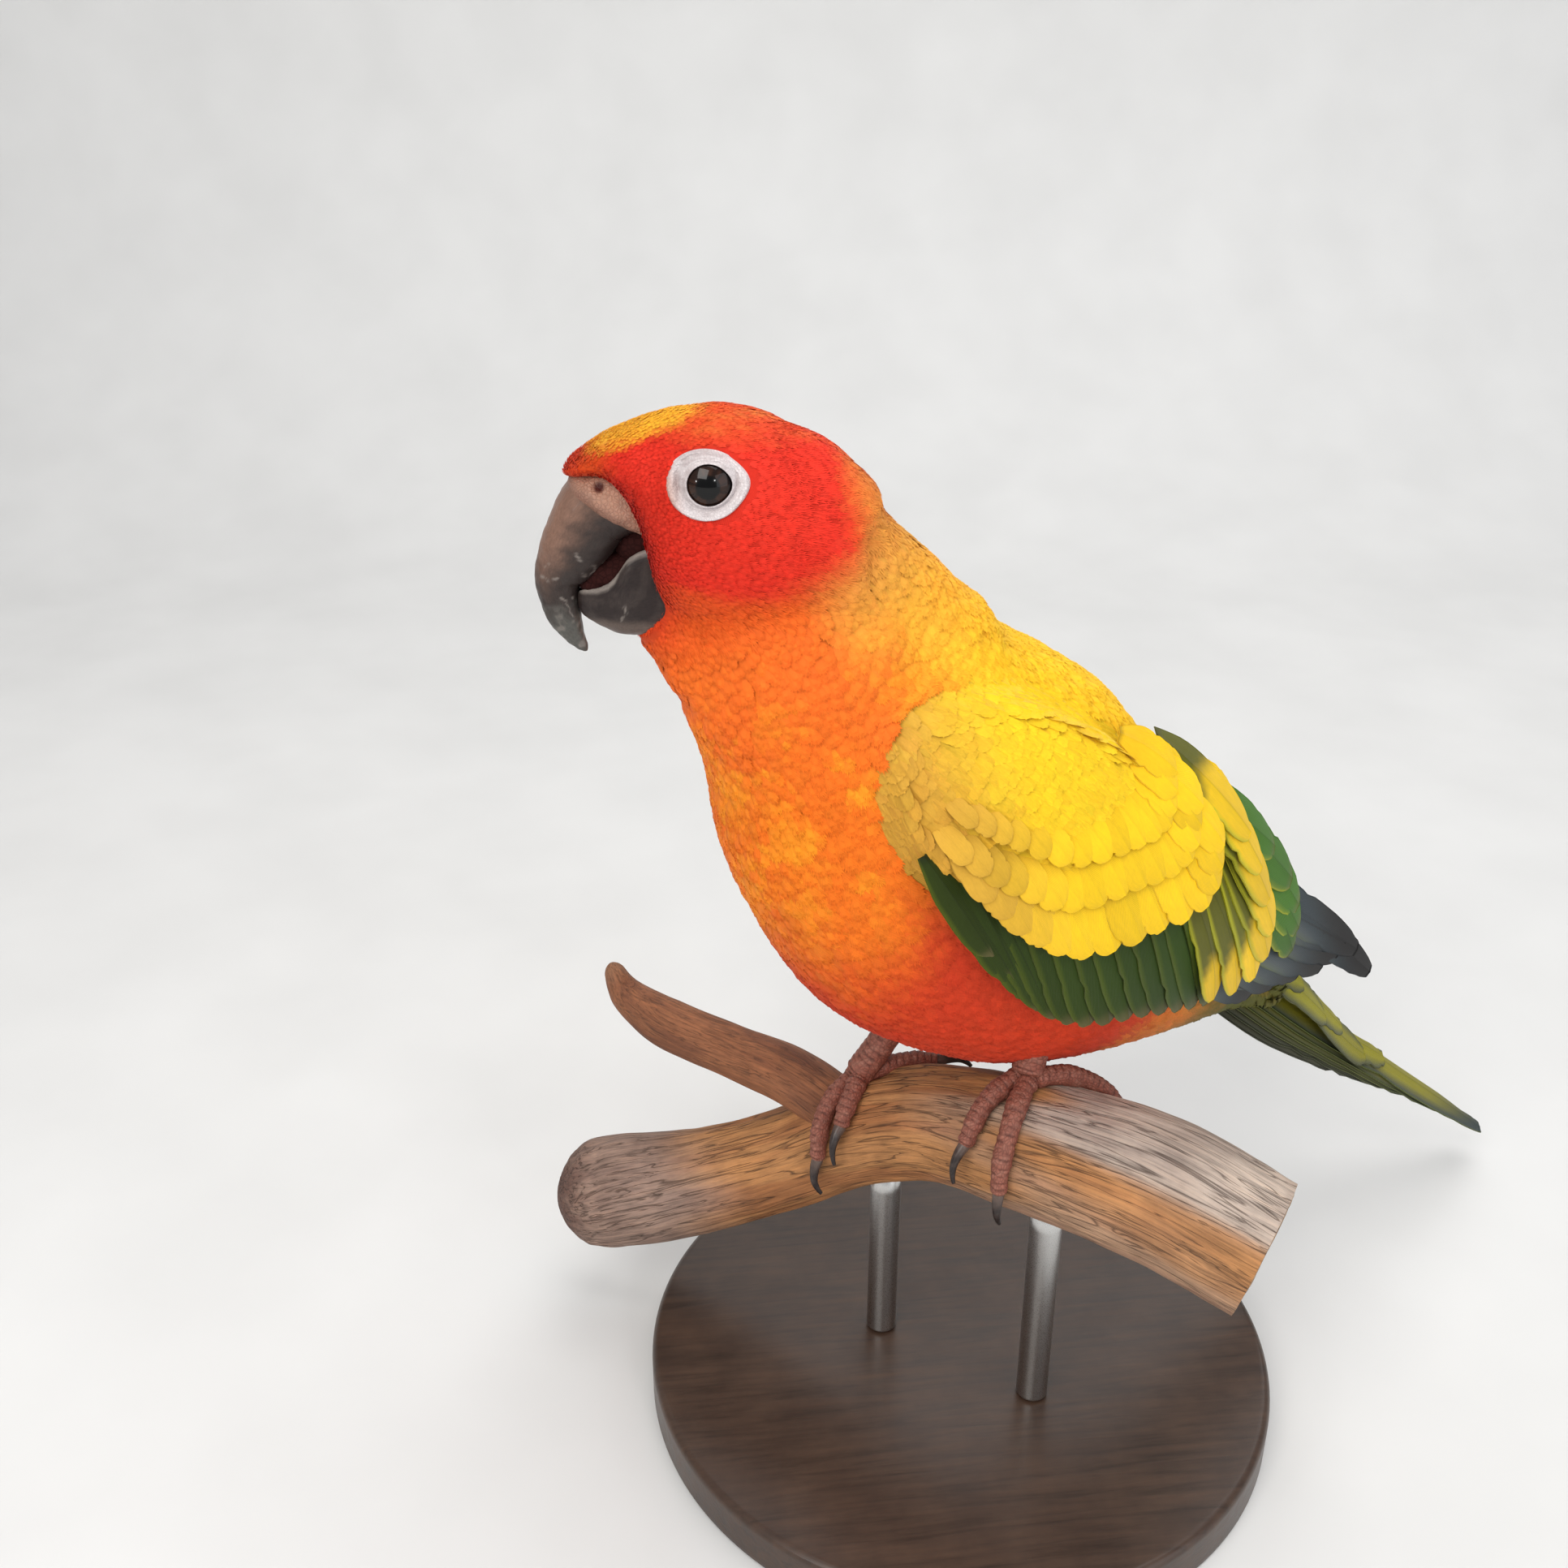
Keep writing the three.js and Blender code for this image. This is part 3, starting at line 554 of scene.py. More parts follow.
# The body line: how far down it a point lies, and the angle round it from the back
bodyShares = np.linspace(0, 1, 260)
bodyLine = runAlong([[0, y, z] for y, z, _, _ in trunkSections], bodyShares)
bodyRun = np.concatenate([[0], np.cumsum(np.linalg.norm(np.diff(bodyLine, axis=0), axis=1))])
bodyWay = unit(np.gradient(bodyLine, axis=0))


def bodyPlace(points):
    # (distance down the line in mm, degrees from the back, way of the line there)
    flat = points.reshape(-1, 3)
    off = flat[:, None, 1:] - bodyLine[None, :, 1:]
    along = np.abs(np.einsum("ijk,jk->ij", off, bodyWay[:, 1:]))
    nearest = np.argmin(along + 0.15 * np.linalg.norm(off, axis=2), axis=1)
    way = bodyWay[nearest]
    rest = flat - bodyLine[nearest]
    up = rest[:, 1] * -way[:, 2] + rest[:, 2] * way[:, 1]
    angle = np.degrees(np.arctan2(np.abs(flat[:, 0]), up))
    shape = points.shape[:-1]
    return bodyRun[nearest].reshape(shape), angle.reshape(shape), way.reshape(*shape, 3)


def pastHead(points):
    facing = np.asarray(headCut["facing"])
    return (points - np.asarray(headCut["at"])) @ facing


# Plumage colours, each as a linear colour
coat = {
    "faceRed": (0.72, 0.030, 0.014), "loreRed": (0.60, 0.026, 0.012), "bandRed": (0.70, 0.060, 0.014),
    "foreYellow": (0.92, 0.47, 0.03), "crownRed": (0.76, 0.085, 0.020), "crownOrange": (0.74, 0.16, 0.03),
    "cheekOrange": (0.72, 0.075, 0.012), "throatOrange": (0.76, 0.098, 0.012),
    "neckOrange": (0.84, 0.15, 0.015), "neckGold": (0.90, 0.42, 0.03), "napeTan": (0.76, 0.33, 0.055),
    "breast": (0.80, 0.16, 0.010), "breastYellow": (0.92, 0.32, 0.015),
    "bellyOrange": (0.74, 0.13, 0.010), "bellyRed": (0.56, 0.040, 0.010), "vent": (0.70, 0.235, 0.025),
    "mantle": (0.92, 0.53, 0.014), "rump": (0.86, 0.34, 0.014), "shoulder": (0.92, 0.59, 0.014),
    "coverts": (0.80, 0.44, 0.010), "wristTan": (0.60, 0.30, 0.045),
    "underTail": (0.10, 0.10, 0.014), "upperTail": (0.10, 0.085, 0.008),
}


def headTint(points):
    h = toHead(points)
    y, z = h[..., 1], h[..., 2]
    broad, small = mottle(points, 7, 3), mottle(points, 2.2, 4)
    crown = smooth(9.5, 14.5, z + 0.8 * broad)
    under = np.interp(y, [-8, 0, 8], [10.0, 11.0, 12.6])
    rim = (np.abs((y - 4) / 17.2) ** 4 + np.abs((z - 1.2) / np.where(z < 1.2, under, 13.2)) ** 4) ** 0.25
    red = 1 - smooth(0.9, 1.12, rim + 0.05 * small)
    tint = mix(coat["throatOrange"], coat["cheekOrange"], smooth(-18, -10, z))
    tint = mix(tint, coat["faceRed"], red)
    tint = mix(tint, coat["loreRed"], (1 - smooth(-8, -1, y)) * (1 - smooth(3, 7, z)) * 0.8)
    tint = mix(tint, mix(coat["crownRed"], coat["crownOrange"], smooth(-0.2, 0.8, small)), crown)
    tint = mix(tint, coat["napeTan"], smooth(20, 27, y + 0.2 * z + 1.2 * broad) * 0.85)
    edge = np.interp(y, [-18.3, -14.3, -10.7, -7.2, -3.3, -0.7], [7.9, 8.7, 10.0, 11.1, 12.6, 13.9])
    fore = smooth(-0.5, 1.0, z - edge + 0.35 * small) * (1 - smooth(-2.5, 2.0, y + 0.8 * small))
    tint = mix(tint, coat["foreYellow"], fore)
    band = (1 - smooth(-18.2, -16.6, y)) * smooth(2, 4, z)
    return mix(tint, coat["bandRed"], band)


def bodyTint(points):
    run, angle, _ = bodyPlace(points)
    broad, small = mottle(points, 13, 5), mottle(points, 4.6, 6)
    front = smooth(58, 92, angle + 9 * broad)
    back = mix(coat["napeTan"], coat["neckGold"], smooth(8, 26, run))
    back = mix(back, coat["mantle"], smooth(24, 42, run))
    back = mix(back, coat["rump"], smooth(105, 135, run + 6 * broad) * 0.8)
    back = mix(back, coat["upperTail"], smooth(142, 162, run + 3 * small))
    belly = mix(coat["throatOrange"], coat["neckOrange"], smooth(0, 16, run))
    patches = smooth(-0.15, 0.75, small + 0.5 * broad)
    belly = mix(belly, coat["breast"], smooth(18, 42, run))
    belly = mix(belly, coat["breastYellow"], patches * smooth(8, 34, run) * (1 - smooth(60, 78, run)) * 0.75)
    belly = mix(belly, coat["bellyOrange"], smooth(52, 66, run + 4 * broad))
    deep = smooth(62, 80, run + 7 * broad + 0.12 * (90 - np.abs(angle - 130)))
    belly = mix(belly, coat["bellyRed"], deep * smooth(88, 112, angle))
    belly = mix(belly, coat["vent"], smooth(112, 126, run + 4 * small) * 0.85)
    belly = mix(belly, coat["underTail"], smooth(126, 142, run + 3 * small))
    return mix(back, belly, front)


def wristShare(p, q):
    # how dull the yellow is: most at the wrist and along the lower front of the coverts
    return (1 - smooth(6, 34, p + 0.9 * (q + 4))) * smooth(-16, -2, 12 - q) * 0.85


def wingSideTint(points):
    p, q = wingPlace(points)
    small = mottle(points, 4.0, 8)
    tint = mix(coat["coverts"], coat["shoulder"], smooth(-8, 8, q + 2 * small))
    return mix(tint, coat["wristTan"], wristShare(p + 2 * small, q))


def markings(points):
    # the bird's colour at a place on its body, for the skin and the feathers alike
    return mix(headTint(points), bodyTint(points), smooth(-4.0, 5.0, pastHead(points)))


# The full nape between the turned head and the back: rows [x, y, z, half width, half height]
napeSections = [
    [3.0, 2.0, 3.0, 8.0, 8.0], [6.2, 10.0, 3.5, 9.0, 8.1], [7.4, 13.0, 0.6, 9.5, 7.4],
    [6.8, 17.7, -6.3, 10.5, 8.5], [5.2, 24.5, -14.4, 12.0, 10.5], [3.6, 33.4, -23.5, 14.0, 11.6],
    [2.2, 42.5, -31.5, 15.0, 12.3],
]


# The skin under the feathers: head, chin, trunk and the wings' fleshy parts run together
skinSetup = {"voxel": 0.85, "fillet": 5.0, "napeFillet": 7.0, "headDepth": 0.55, "bodyDepth": 1.5,
             "smoothing": 6, "ringSink": 1.3}
wingPad = {"middle": (38, 2.5), "length": 40, "rise": 19, "slope": -0.1, "thick": 2.4, "inward": 15}


def padGrid(side):
    # the wing's fleshy lens, closed towards the body
    turn = np.linspace(0, 2 * math.pi, 48, endpoint=False)
    tilt = np.linspace(0.01, math.pi - 0.01, 32)
    share = np.sin(tilt)[:, None]
    run = share * np.cos(turn) * wingPad["length"]
    q = wingPad["middle"][1] + wingPad["slope"] * run + share * np.sin(turn) * wingPad["rise"]
    out = np.cos(tilt)[:, None] * np.ones(48)
    height = np.where(out > 0, out * wingPad["thick"], out * wingPad["inward"])
    points = wingPoint(wingPad["middle"][0] + run, q, height)
    points[..., 0] = np.maximum(points[..., 0], 1) * side
    return points


def remeshed(points, faces, voxel):
    mesh = bpy.data.meshes.new("form")
    mesh.from_pydata([tuple(p * mm) for p in points], [], faces)
    form = bpy.data.objects.new("form", mesh)
    bpy.context.scene.collection.objects.link(form)
    remesh = form.modifiers.new("remesh", "REMESH")
    remesh.mode = "VOXEL"
    remesh.voxel_size = voxel * mm
    done = form.evaluated_get(bpy.context.evaluated_depsgraph_get()).data
    out = np.zeros(len(done.vertices) * 3)
    done.vertices.foreach_get("co", out)
    corners = np.zeros(len(done.loops), np.int32)
    done.loops.foreach_get("vertex_index", corners)
    starts = np.zeros(len(done.polygons), np.int32)
    done.polygons.foreach_get("loop_start", starts)
    cells = np.split(corners, starts[1:])
    bpy.data.objects.remove(form)
    return out.reshape(-1, 3) / mm, cells


def asQuads(cells):
    # voxel meshes are all quads; stray triangles repeat a corner
    return np.array([list(c) if len(c) == 4 else [*c, c[-1]] for c in cells])


def vertexNormals(points, quads):
    a, b, c, d = (points[quads[:, i]] for i in range(4))
    face = np.cross(c - a, d - b)
    total = np.zeros_like(points)
    for i in range(4):
        np.add.at(total, quads[:, i], face)
    return unit(total)


def relaxed(points, quads, rounds, share=0.5):
    # corners drawn towards the middle of their neighbours
    count = np.zeros(len(points))
    pairs = np.vstack([quads[:, [i, (i + 1) % 4]] for i in range(4)])
    np.add.at(count, pairs[:, 0], 1)
    np.add.at(count, pairs[:, 1], 1)
    share = np.broadcast_to(share, (len(points),))[:, None]
    for _ in range(rounds):
        total = np.zeros_like(points)
        np.add.at(total, pairs[:, 0], points[pairs[:, 1]])
        np.add.at(total, pairs[:, 1], points[pairs[:, 0]])
        points = points + share * (total / count[:, None] - points)
    return points


def makeSkin():
    grids = [
        fromHead(loftGrid(midRows(headSections), 56, 60, ends=(0.05, 0.05), upright=True)[0]),
        fromHead(ballGrid(chin["at"], chin["half"])),
        fromHead(ballGrid(chin["throatAt"], chin["throatHalf"])),
        loftGrid(midRows(trunkSections), 56, 72, ends=(0.04, 0.03))[0],
        loftGrid(napeSections, 48, 48, ends=(0.12, 0.12))[0],
        padGrid(1), padGrid(-1),
    ]
    points, faces, count = [], [], 0
    for grid in grids:
        rings, sides = grid.shape[:2]
        points.append(closeTube(grid))
        for group in tubeFaces(rings, sides):
            faces += (group + count).tolist()
        count += len(points[-1])
    points, cells = remeshed(np.vstack(points), faces, skinSetup["voxel"])
    quads = asQuads(cells)
    for way in (1, -1):
        past = pastHead(points)
        reach = skinSetup["fillet"] * smooth(2, 20, past)
        nape = smooth(-16, -2, past) * (1 - smooth(14, 34, past))
        nape = nape * smooth(4, 14, points[:, 1] + 0.4 * points[:, 2])
        reach = np.maximum(reach, skinSetup["napeFillet"] * nape)
        normals = vertexNormals(relaxed(points, quads, 2), quads)
        points = points + way * normals * reach[:, None]
        points, cells = remeshed(points, [list(c) for c in cells], skinSetup["voxel"])
        quads = asQuads(cells)
    body = smooth(-6, 12, pastHead(points))
    points = relaxed(points, quads, skinSetup["smoothing"], 0.15 + 0.45 * body)
    depth = mix([skinSetup["headDepth"]], [skinSetup["bodyDepth"]], body)
    points = points - vertexNormals(points, quads) * depth
    head = toHead(points)
    under = (1 - smooth(0.62, 0.88, ringReach(head[:, 1], head[:, 2]))) * (np.abs(head[:, 0]) > 6)
    head[:, 0] -= np.sign(head[:, 0]) * skinSetup["ringSink"] * under
    return fromHead(head), quads


def treeOf(points, quads):
    return BVHTree.FromPolygons([tuple(p) for p in points], quads.tolist())


def treeOfShapes(shapes):
    points, faces, count = [], [], 0
    for shape in shapes:
        points += [tuple(p) for p in np.vstack(shape.points)]
        for group in shape.faces:
            faces += (group + count).tolist()
        count += shape.count
    return BVHTree.FromPolygons(points, faces)


def snapped(tree, points):
    # nearest places on a surface and the way it faces there
    found = [tree.find_nearest(tuple(p)) for p in points]
    return np.array([f[0] for f in found]), np.array([f[1] for f in found])


# The eye and the oval of bare skin round it, as in the solids
eye = {"at": (8.6, 0.9, 5.4), "radius": 4.3, "iris": 2.95, "pupil": 1.65}
eyeRing = {"at": (11.0, 0.4, 5.25), "half": (1.25, 5.35, 4.55), "point": 0.17, "lidAt": (0.95, 5.6)}


def ringPull(angle):
    # how far the ring's rear corner is drawn out
    return 1 + eyeRing["point"] * np.maximum(0, np.cos(angle - 0.2)) ** 6


def ringReach(y, z):
    # 1 on the outline of the ring, less inside it
    _, long, high = eyeRing["half"]
    y, z = y - eyeRing["at"][1], z - eyeRing["at"][2]
    pull = ringPull(np.arctan2(z / high, y / long))
    return np.hypot(y / (long * pull), z / high)


# Tufts: each template is points (across, along, up) and faces
def kite(start, end, width, bend=0.0):
    start, end = np.array([*start, 0.0]), np.array([*end, 0.0])
    middle = start + (end - start) * 0.45
    middle[2] = bend
    off = unit(np.array([-(end - start)[1], (end - start)[0], 0])) * width / 2
    return [start, middle + off, end, middle - off]


def makeWisp(slivers):
    # a small tuft of separate barbs, for the face and head
    points = []
    for i in range(slivers):
        share = i / (slivers - 1) * 2 - 1
        points += kite((0.25 * share, 0.12 * abs(share)), (0.85 * share, 1 - 0.28 * abs(share)), 0.42, 0.1)
    faces = [np.arange(slivers)[:, None] * 4 + np.array([[0, 1, 2, 3]])]
    return np.array(points), faces


def makePlume(barbs):
    # a soft body feather: a short vane with a fringe of loose barbs
    rows = [(0, 0.2), (0.3, 0.6), (0.56, 0.7), (0.76, 0.4)]
    points = [[side * half, along, 0.12 * (1 - abs(side))] for along, half in rows for side in (-1, 0, 1)]
    faces = [gridFaces(len(rows), 3)]
    first = len(points)
    for i in range(barbs):
        theta = math.radians(-88 + 176 * i / (barbs - 1))
        start = (0.3 * math.sin(theta), 0.36 + 0.22 * math.cos(theta))
        reach = 1.0 if i % 2 else 0.9
        end = (reach * math.sin(theta), 0.56 + 0.44 * reach * math.cos(theta))
        points += kite(start, end, 0.24, 0.06)
    faces.append(np.arange(barbs)[:, None] * 4 + np.array([[0, 1, 2, 3]]) + first)
    return np.array(points), faces


def makeRoundVane(rows, fringe):
    # a firm rounded covert with a raised shaft and a short soft edge
    columns = np.array([-1, -0.7, -0.12, 0, 0.12, 0.7, 1])
    along = 1 - (1 - np.linspace(0, 1, rows)) ** 1.5
    half = vaneShape(along)
    points = [[u * h, v, 0.1 * (u == 0)] for v, h in zip(along * 0.97, half) for u in columns]
    faces = [gridFaces(rows, len(columns))]
    first = len(points)
    for i in range(fringe):
        theta = math.radians(-70 + 140 * i / (fringe - 1))
        start = (0.7 * math.sin(theta), 0.6 + 0.28 * math.cos(theta))
        end = (1.02 * math.sin(theta), 0.66 + 0.35 * math.cos(theta))
        points += kite(start, end, 0.22)
    faces.append(np.arange(fringe)[:, None] * 4 + np.array([[0, 1, 2, 3]]) + first)
    return np.array(points), faces


def vaneShape(along):
    # half width of a feather at a share of its length: narrow root, full body, rounded tip
    tip = np.sqrt(np.clip(1 - (np.maximum(along - 0.66, 0) / 0.36) ** 2, 0, 1))
    return smooth(-0.3, 0.4, along) * tip


tufts = {"rootDepth": 0.25, "middleLift": 0.55, "cupping": 0.16, "patch": 0.003}


def layFeathers(shape, tree, roots, normals, lies, length, half, lift, template, tints, bake, seeds):
    # rows of feathers bent over the surface, all from one template
    points, faces = template
    n, k = len(roots), len(points)
    lies = unit(lies - normals * np.sum(lies * normals, 1)[:, None])
    middle, middleNormal = snapped(tree, roots + lies * (length * 0.5)[:, None])
    tip, tipNormal = snapped(tree, roots + lies * length[:, None])
    start = roots - normals * tufts["rootDepth"]
    middle = middle + middleNormal * (tufts["middleLift"] * lift)[:, None]
    tip = tip + tipNormal * lift[:, None]
    across = unit(np.cross(lies, normals))
    u, v, h = points[:, 0], points[:, 1], points[:, 2]
    a, b, c = (2 * (v - 0.5) * (v - 1), 4 * v * (1 - v), 2 * v * (v - 0.5))
    line = (start[:, None] * a[None, :, None] + middle[:, None] * b[None, :, None]
            + tip[:, None] * c[None, :, None])
    up = unit(normals[:, None] * (1 - v)[None, :, None] + tipNormal[:, None] * v[None, :, None])
    rise = (h[None] - tufts["cupping"] * (u ** 2)[None]) * half[:, None]
    place = line + across[:, None] * (u[None] * half[:, None])[..., None] + up * rise[..., None]
    local = np.random.default_rng(len(roots)).uniform(0.93, 1.07, (n, k, 1))
    # painted shade: each feather is darker towards its root, where the feathers above cover it
    shade = (0.82 + 0.20 * smooth(0.1, 0.75, v))[None, :, None]
    tint = mix(tints[0][:, None], tints[1][:, None], np.broadcast_to(v, (n, k))) * local * shade
    vane = np.stack([np.broadcast_to(u, (n, k)), np.broadcast_to(v, (n, k)),
                     np.broadcast_to(seeds[:, None], (n, k))], -1)
    patch = bake[:, None] + np.stack([u / 2, v - 0.5], -1)[None] * tufts["patch"]
    offsets = (np.arange(n) * k)[:, None, None]
    shape.add(place, [(f[None] + offsets).reshape(-1, f.shape[1]) for f in faces], tint.reshape(-1, 3),
              vane, np.clip(patch, 0, 1))


def scatter(points, quads, spacing, seed):
    # even scatter over a surface: spacing is in mm at every corner, none where it is 0. Five times
    # too many places are drawn first, and one in each cell of the grids stays
    dice = np.random.default_rng(seed)
    a, b, c, d = (points[quads[:, i]] for i in range(4))
    area = 0.5 * np.linalg.norm(np.cross(c - a, d - b), axis=1)
    gap = spacing[quads].mean(1)
    allowed = (spacing[quads] > 0).all(1)
    weight = np.where(allowed, area / np.maximum(gap, 0.1) ** 2, 0)
    count = int(weight.sum() * 5)
    pick = dice.choice(len(quads), count, p=weight / weight.sum())
    s, t = dice.random((2, count, 1))
    places = (a[pick] * (1 - s) + b[pick] * s) * (1 - t) + (d[pick] * (1 - s) + c[pick] * s) * t
    size = np.maximum(np.round(gap[pick] * 5) / 5, 0.3)
    for shift in (0.0, 0.5, 0.25):
        keys = np.column_stack([size, np.floor(places / size[:, None] + shift)])
        kept = np.unique(keys, axis=0, return_index=True)[1]
        places, size = places[kept], size[kept]
    return places


# Lie of the feathers: fanned back from the bill on the head, down the body line behind it
def lieOf(points):
    h = toHead(points)
    fan = h - np.array([0, -17.0, 1.0])
    fan[..., 0] *= 0.8
    fan = fromHead(unit(fan))
    _, angle, way = bodyPlace(points)
    down = way.copy()
    down[..., 0] += 0.10 * np.sign(points[..., 0]) * smooth(20, 90, angle)
    down[..., 2] -= 0.25 * smooth(80, 130, angle)
    return unit(mix(fan, unit(down), smooth(-8, 12, pastHead(points))))


# The head's and body's feathers: spacings in mm, each with what is added to it farther back, and
# lengths in mm at runs down the body line
coatSetup = {
    "headSpacing": (0.40, 0.22), "bodySpacing": (0.72, 0.30), "headDice": 21, "bodyDice": 22,
    "growDice": 31, "stray": 0.12,
    "runs": [0, 20, 45, 80, 120, 165], "lengths": [3.4, 4.8, 6.5, 8.6, 9.5, 11],
    "wispBarbs": 5, "plumeBarbs": 15, "pieceTriangles": 190000,
}


def coatSizes(points):
    # (length, half width, lift) of the feather that grows at each point
    run, _, _ = bodyPlace(points)
    h = toHead(points)
    y = h[..., 1]
    fromBill = np.linalg.norm(h - np.array([0, -15, -1]), axis=-1)
    head = 0.9 + 1.9 * smooth(6, 32, fromBill) + 0.6 * smooth(8, 24, y)
    body = np.interp(run, coatSetup["runs"], coatSetup["lengths"])
    share = smooth(-4, 14, pastHead(points))
    length = head * (1 - share) + body * share
    half = length * (0.27 * (1 - share) + 0.29 * share)
    lift = 0.28 + 0.5 * share + 0.25 * smooth(14, 24, y) * (1 - share)
    return length, half, lift


def wingCover(points):
    # 1 well under the folded wing, where no body feather shows
    p, q = wingPlace(points)
    inside = smooth(14, 22, p) * (1 - smooth(96, 112, p)) * smooth(-16, -10, q) * (1 - smooth(6, 12, q))
    return inside * (np.abs(points[..., 0]) > 12)


def headSpacing(points, billTree):
    # none on the eye's ring and close to the bill
    head = toHead(points)
    onEye = (ringReach(head[:, 1], head[:, 2]) < 1.02) & (np.abs(head[:, 0]) > 6)
    toBill = np.array([billTree.find_nearest(tuple(p))[3] if abs(p[2]) < 40 and p[1] < 10 else 99
                       for p in points])
    face, added = coatSetup["headSpacing"]
    spacing = np.where(pastHead(points) < 3, face + added * smooth(8, 34, head[:, 1] + 16), 0)
    return np.where(onEye | (toBill < 0.35), 0, spacing)


def bodySpacing(points):
    # none under the wings and on their fleshy parts, which have coverts of their own
    past = pastHead(points)
    neck, added = coatSetup["bodySpacing"]
    spacing = np.where(past >= 1, neck + added * smooth(0, 60, past), 0)
    return np.where((wingCover(points) > 0.5) | onPad(points), 0, spacing)


def growCoat(points, quads, tree, billTree):
    pieces = []
    for name, isHead in (("head_feathers", True), ("body_feathers", False)):
        spacing = headSpacing(points, billTree) if isHead else bodySpacing(points)
        roots = scatter(points, quads, spacing, coatSetup["headDice" if isHead else "bodyDice"])
        spots, normals = snapped(tree, roots)
        dice = np.random.default_rng(coatSetup["growDice"] + isHead)
        n = len(roots)
        length, half, lift = coatSizes(roots)
        spread = dice.normal(0, coatSetup["stray"], (n, 3))
        lies = lieOf(roots) + spread
        change = dice.uniform(0.93, 1.07, (n, 1)) * dice.uniform(0.97, 1.03, (n, 3))
        rootTint = markings(roots) * change
        tipTint = markings(roots + lies * length[:, None]) * change
        if isHead:
            h = toHead(roots)
            bake = onPage(np.arctan2(h[:, 0], h[:, 2] + 2) / (2 * math.pi) + 0.5, (h[:, 1] + 26) / 62)
            template = makeWisp(coatSetup["wispBarbs"])
        else:
            run, angle, _ = bodyPlace(roots)
            bake = onPage(0.5 + np.sign(roots[:, 0]) * angle / 362, run / 175)
            template = makePlume(coatSetup["plumeBarbs"])
        order = np.argsort(bake[:, 1])
        parts = math.ceil(n / (coatSetup["pieceTriangles"] // triangleCount(template)))
        for i, part in enumerate(np.array_split(order, parts)):
            shape = Shape()
            size = dice.uniform(0.85, 1.15, len(part))
            layFeathers(shape, tree, spots[part], normals[part], lies[part], length[part] * size,
                        half[part], lift[part] * dice.uniform(0.7, 1.3, len(part)), template,
                        (rootTint[part], tipTint[part]), bake[part], dice.random(len(part)) * 40)
            pieces.append((name, i + 1, shape))
        print("tufts", name, n, "pieces", parts)
    return pieces


def triangleCount(template):
    return sum(len(f) * (f.shape[1] - 2) for f in template[1])


# Small coverts over the wing's fleshy part
def onPad(points):
    p, q = wingPlace(points)
    run = p - wingPad["middle"][0]
    rise = q - wingPad["middle"][1] - wingPad["slope"] * run
    inside = np.hypot(run / (wingPad["length"] + 2), rise / (wingPad["rise"] + 2)) < 1
    return inside & (np.abs(points[..., 0]) > 13)


shoulderSetup = {
    "spacing": 1.3, "width": 0.38, "placeDice": 41, "sizeDice": 43,
    "edgeRun": [-5, 8, 14, 28, 40, 49, 58, 80], "edgeRise": [-30, -12, 1, 1, 1.5, 8, 15, 24],
}


def growShoulders(points, quads, tree, side):
    p, q = wingPlace(points)
    above = q > np.interp(p, shoulderSetup["edgeRun"], shoulderSetup["edgeRise"])
    spacing = np.where(onPad(points) & above & (points[:, 0] * side > 0), shoulderSetup["spacing"], 0)
    roots = scatter(points, quads, spacing, shoulderSetup["placeDice"] + side)
    spots, normals = snapped(tree, roots)
    dice = np.random.default_rng(shoulderSetup["sizeDice"] + side)
    n = len(roots)
    p, q = wingPlace(roots)
    angle = np.radians(-14 - 14 * smooth(-4, -16, q) + dice.normal(0, 4, n))
    way = np.column_stack([np.zeros(n), np.cos(angle) * chordCos - np.sin(angle) * chordSin,
                           np.cos(angle) * chordSin + np.sin(angle) * chordCos])
    length = 5.0 + 0.4 * smooth(2, 12, p) + 2.6 * smooth(5, 50, p)
    lift = (0.45 + 0.25 * dice.random(n)) * (0.55 + 0.45 * smooth(2, 14, p))
    tint = (wingSideTint(roots + way * 3) * dice.uniform(0.93, 1.06, (n, 1))
            * dice.uniform(0.97, 1.03, (n, 3)))
    bake = onPage((p + 10) / 100, (q + 30) / 60)
    shape = Shape()
    order = np.argsort(-p)
    layFeathers(shape, tree, spots[order], normals[order], way[order], length[order],
                length[order] * shoulderSetup["width"], lift[order], makeRoundVane(5, 7),
                (tint[order], tint[order]), bake[order], dice.random(n) * 40)
    print("shoulder feathers", side, n)
    return shape


# Colours of the flight feathers, the large coverts and the tail
flightShades = {
    "green": (0.019, 0.023, 0.002), "greenMid": (0.028, 0.066, 0.002), "greenRear": (0.050, 0.170, 0.003),
    "edgeGreen": (0.13, 0.16, 0.008),
    "edgeYellow": (0.50, 0.48, 0.015), "slate": (0.020, 0.034, 0.042), "slatePale": (0.10, 0.12, 0.12),
    "black": (0.010, 0.009, 0.009), "tipGrey": (0.15, 0.12, 0.05), "tertialBase": (0.12, 0.12, 0.010),
    "yellow": (0.90, 0.57, 0.010), "yellowDeep": (0.76, 0.43, 0.010), "tan": (0.58, 0.31, 0.045),
    "tailOlive": (0.29, 0.26, 0.009), "tailBlue": (0.028, 0.045, 0.045), "tailGrey": (0.075, 0.068, 0.055),
}


def primaryTint(u, v, share):
    f = flightShades
    tint = mix(f["slate"], f["black"], smooth(0.62, 0.9, v + 0.1 * u))
    tint = mix(tint, f["slatePale"], (1 - smooth(-0.85, -0.2, u)) * (1 - smooth(0.55, 0.85, v)) * 0.8)
    return mix(tint, f["edgeGreen"], (1 - smooth(-0.98, -0.8, u)) * 0.5 * (1 - smooth(0.5, 0.8, v)))


def rearTint(u, v, share):
    f = flightShades
    tint = mix(f["green"], f["greenRear"], smooth(0.1, 0.7, v) * (0.75 + 0.25 * share))
    tint = mix(tint, f["edgeYellow"], (1 - smooth(-1.0, -0.84, u)) * 0.7)
    return mix(tint, f["tipGrey"], smooth(0.93, 1.0, v) * 0.5)


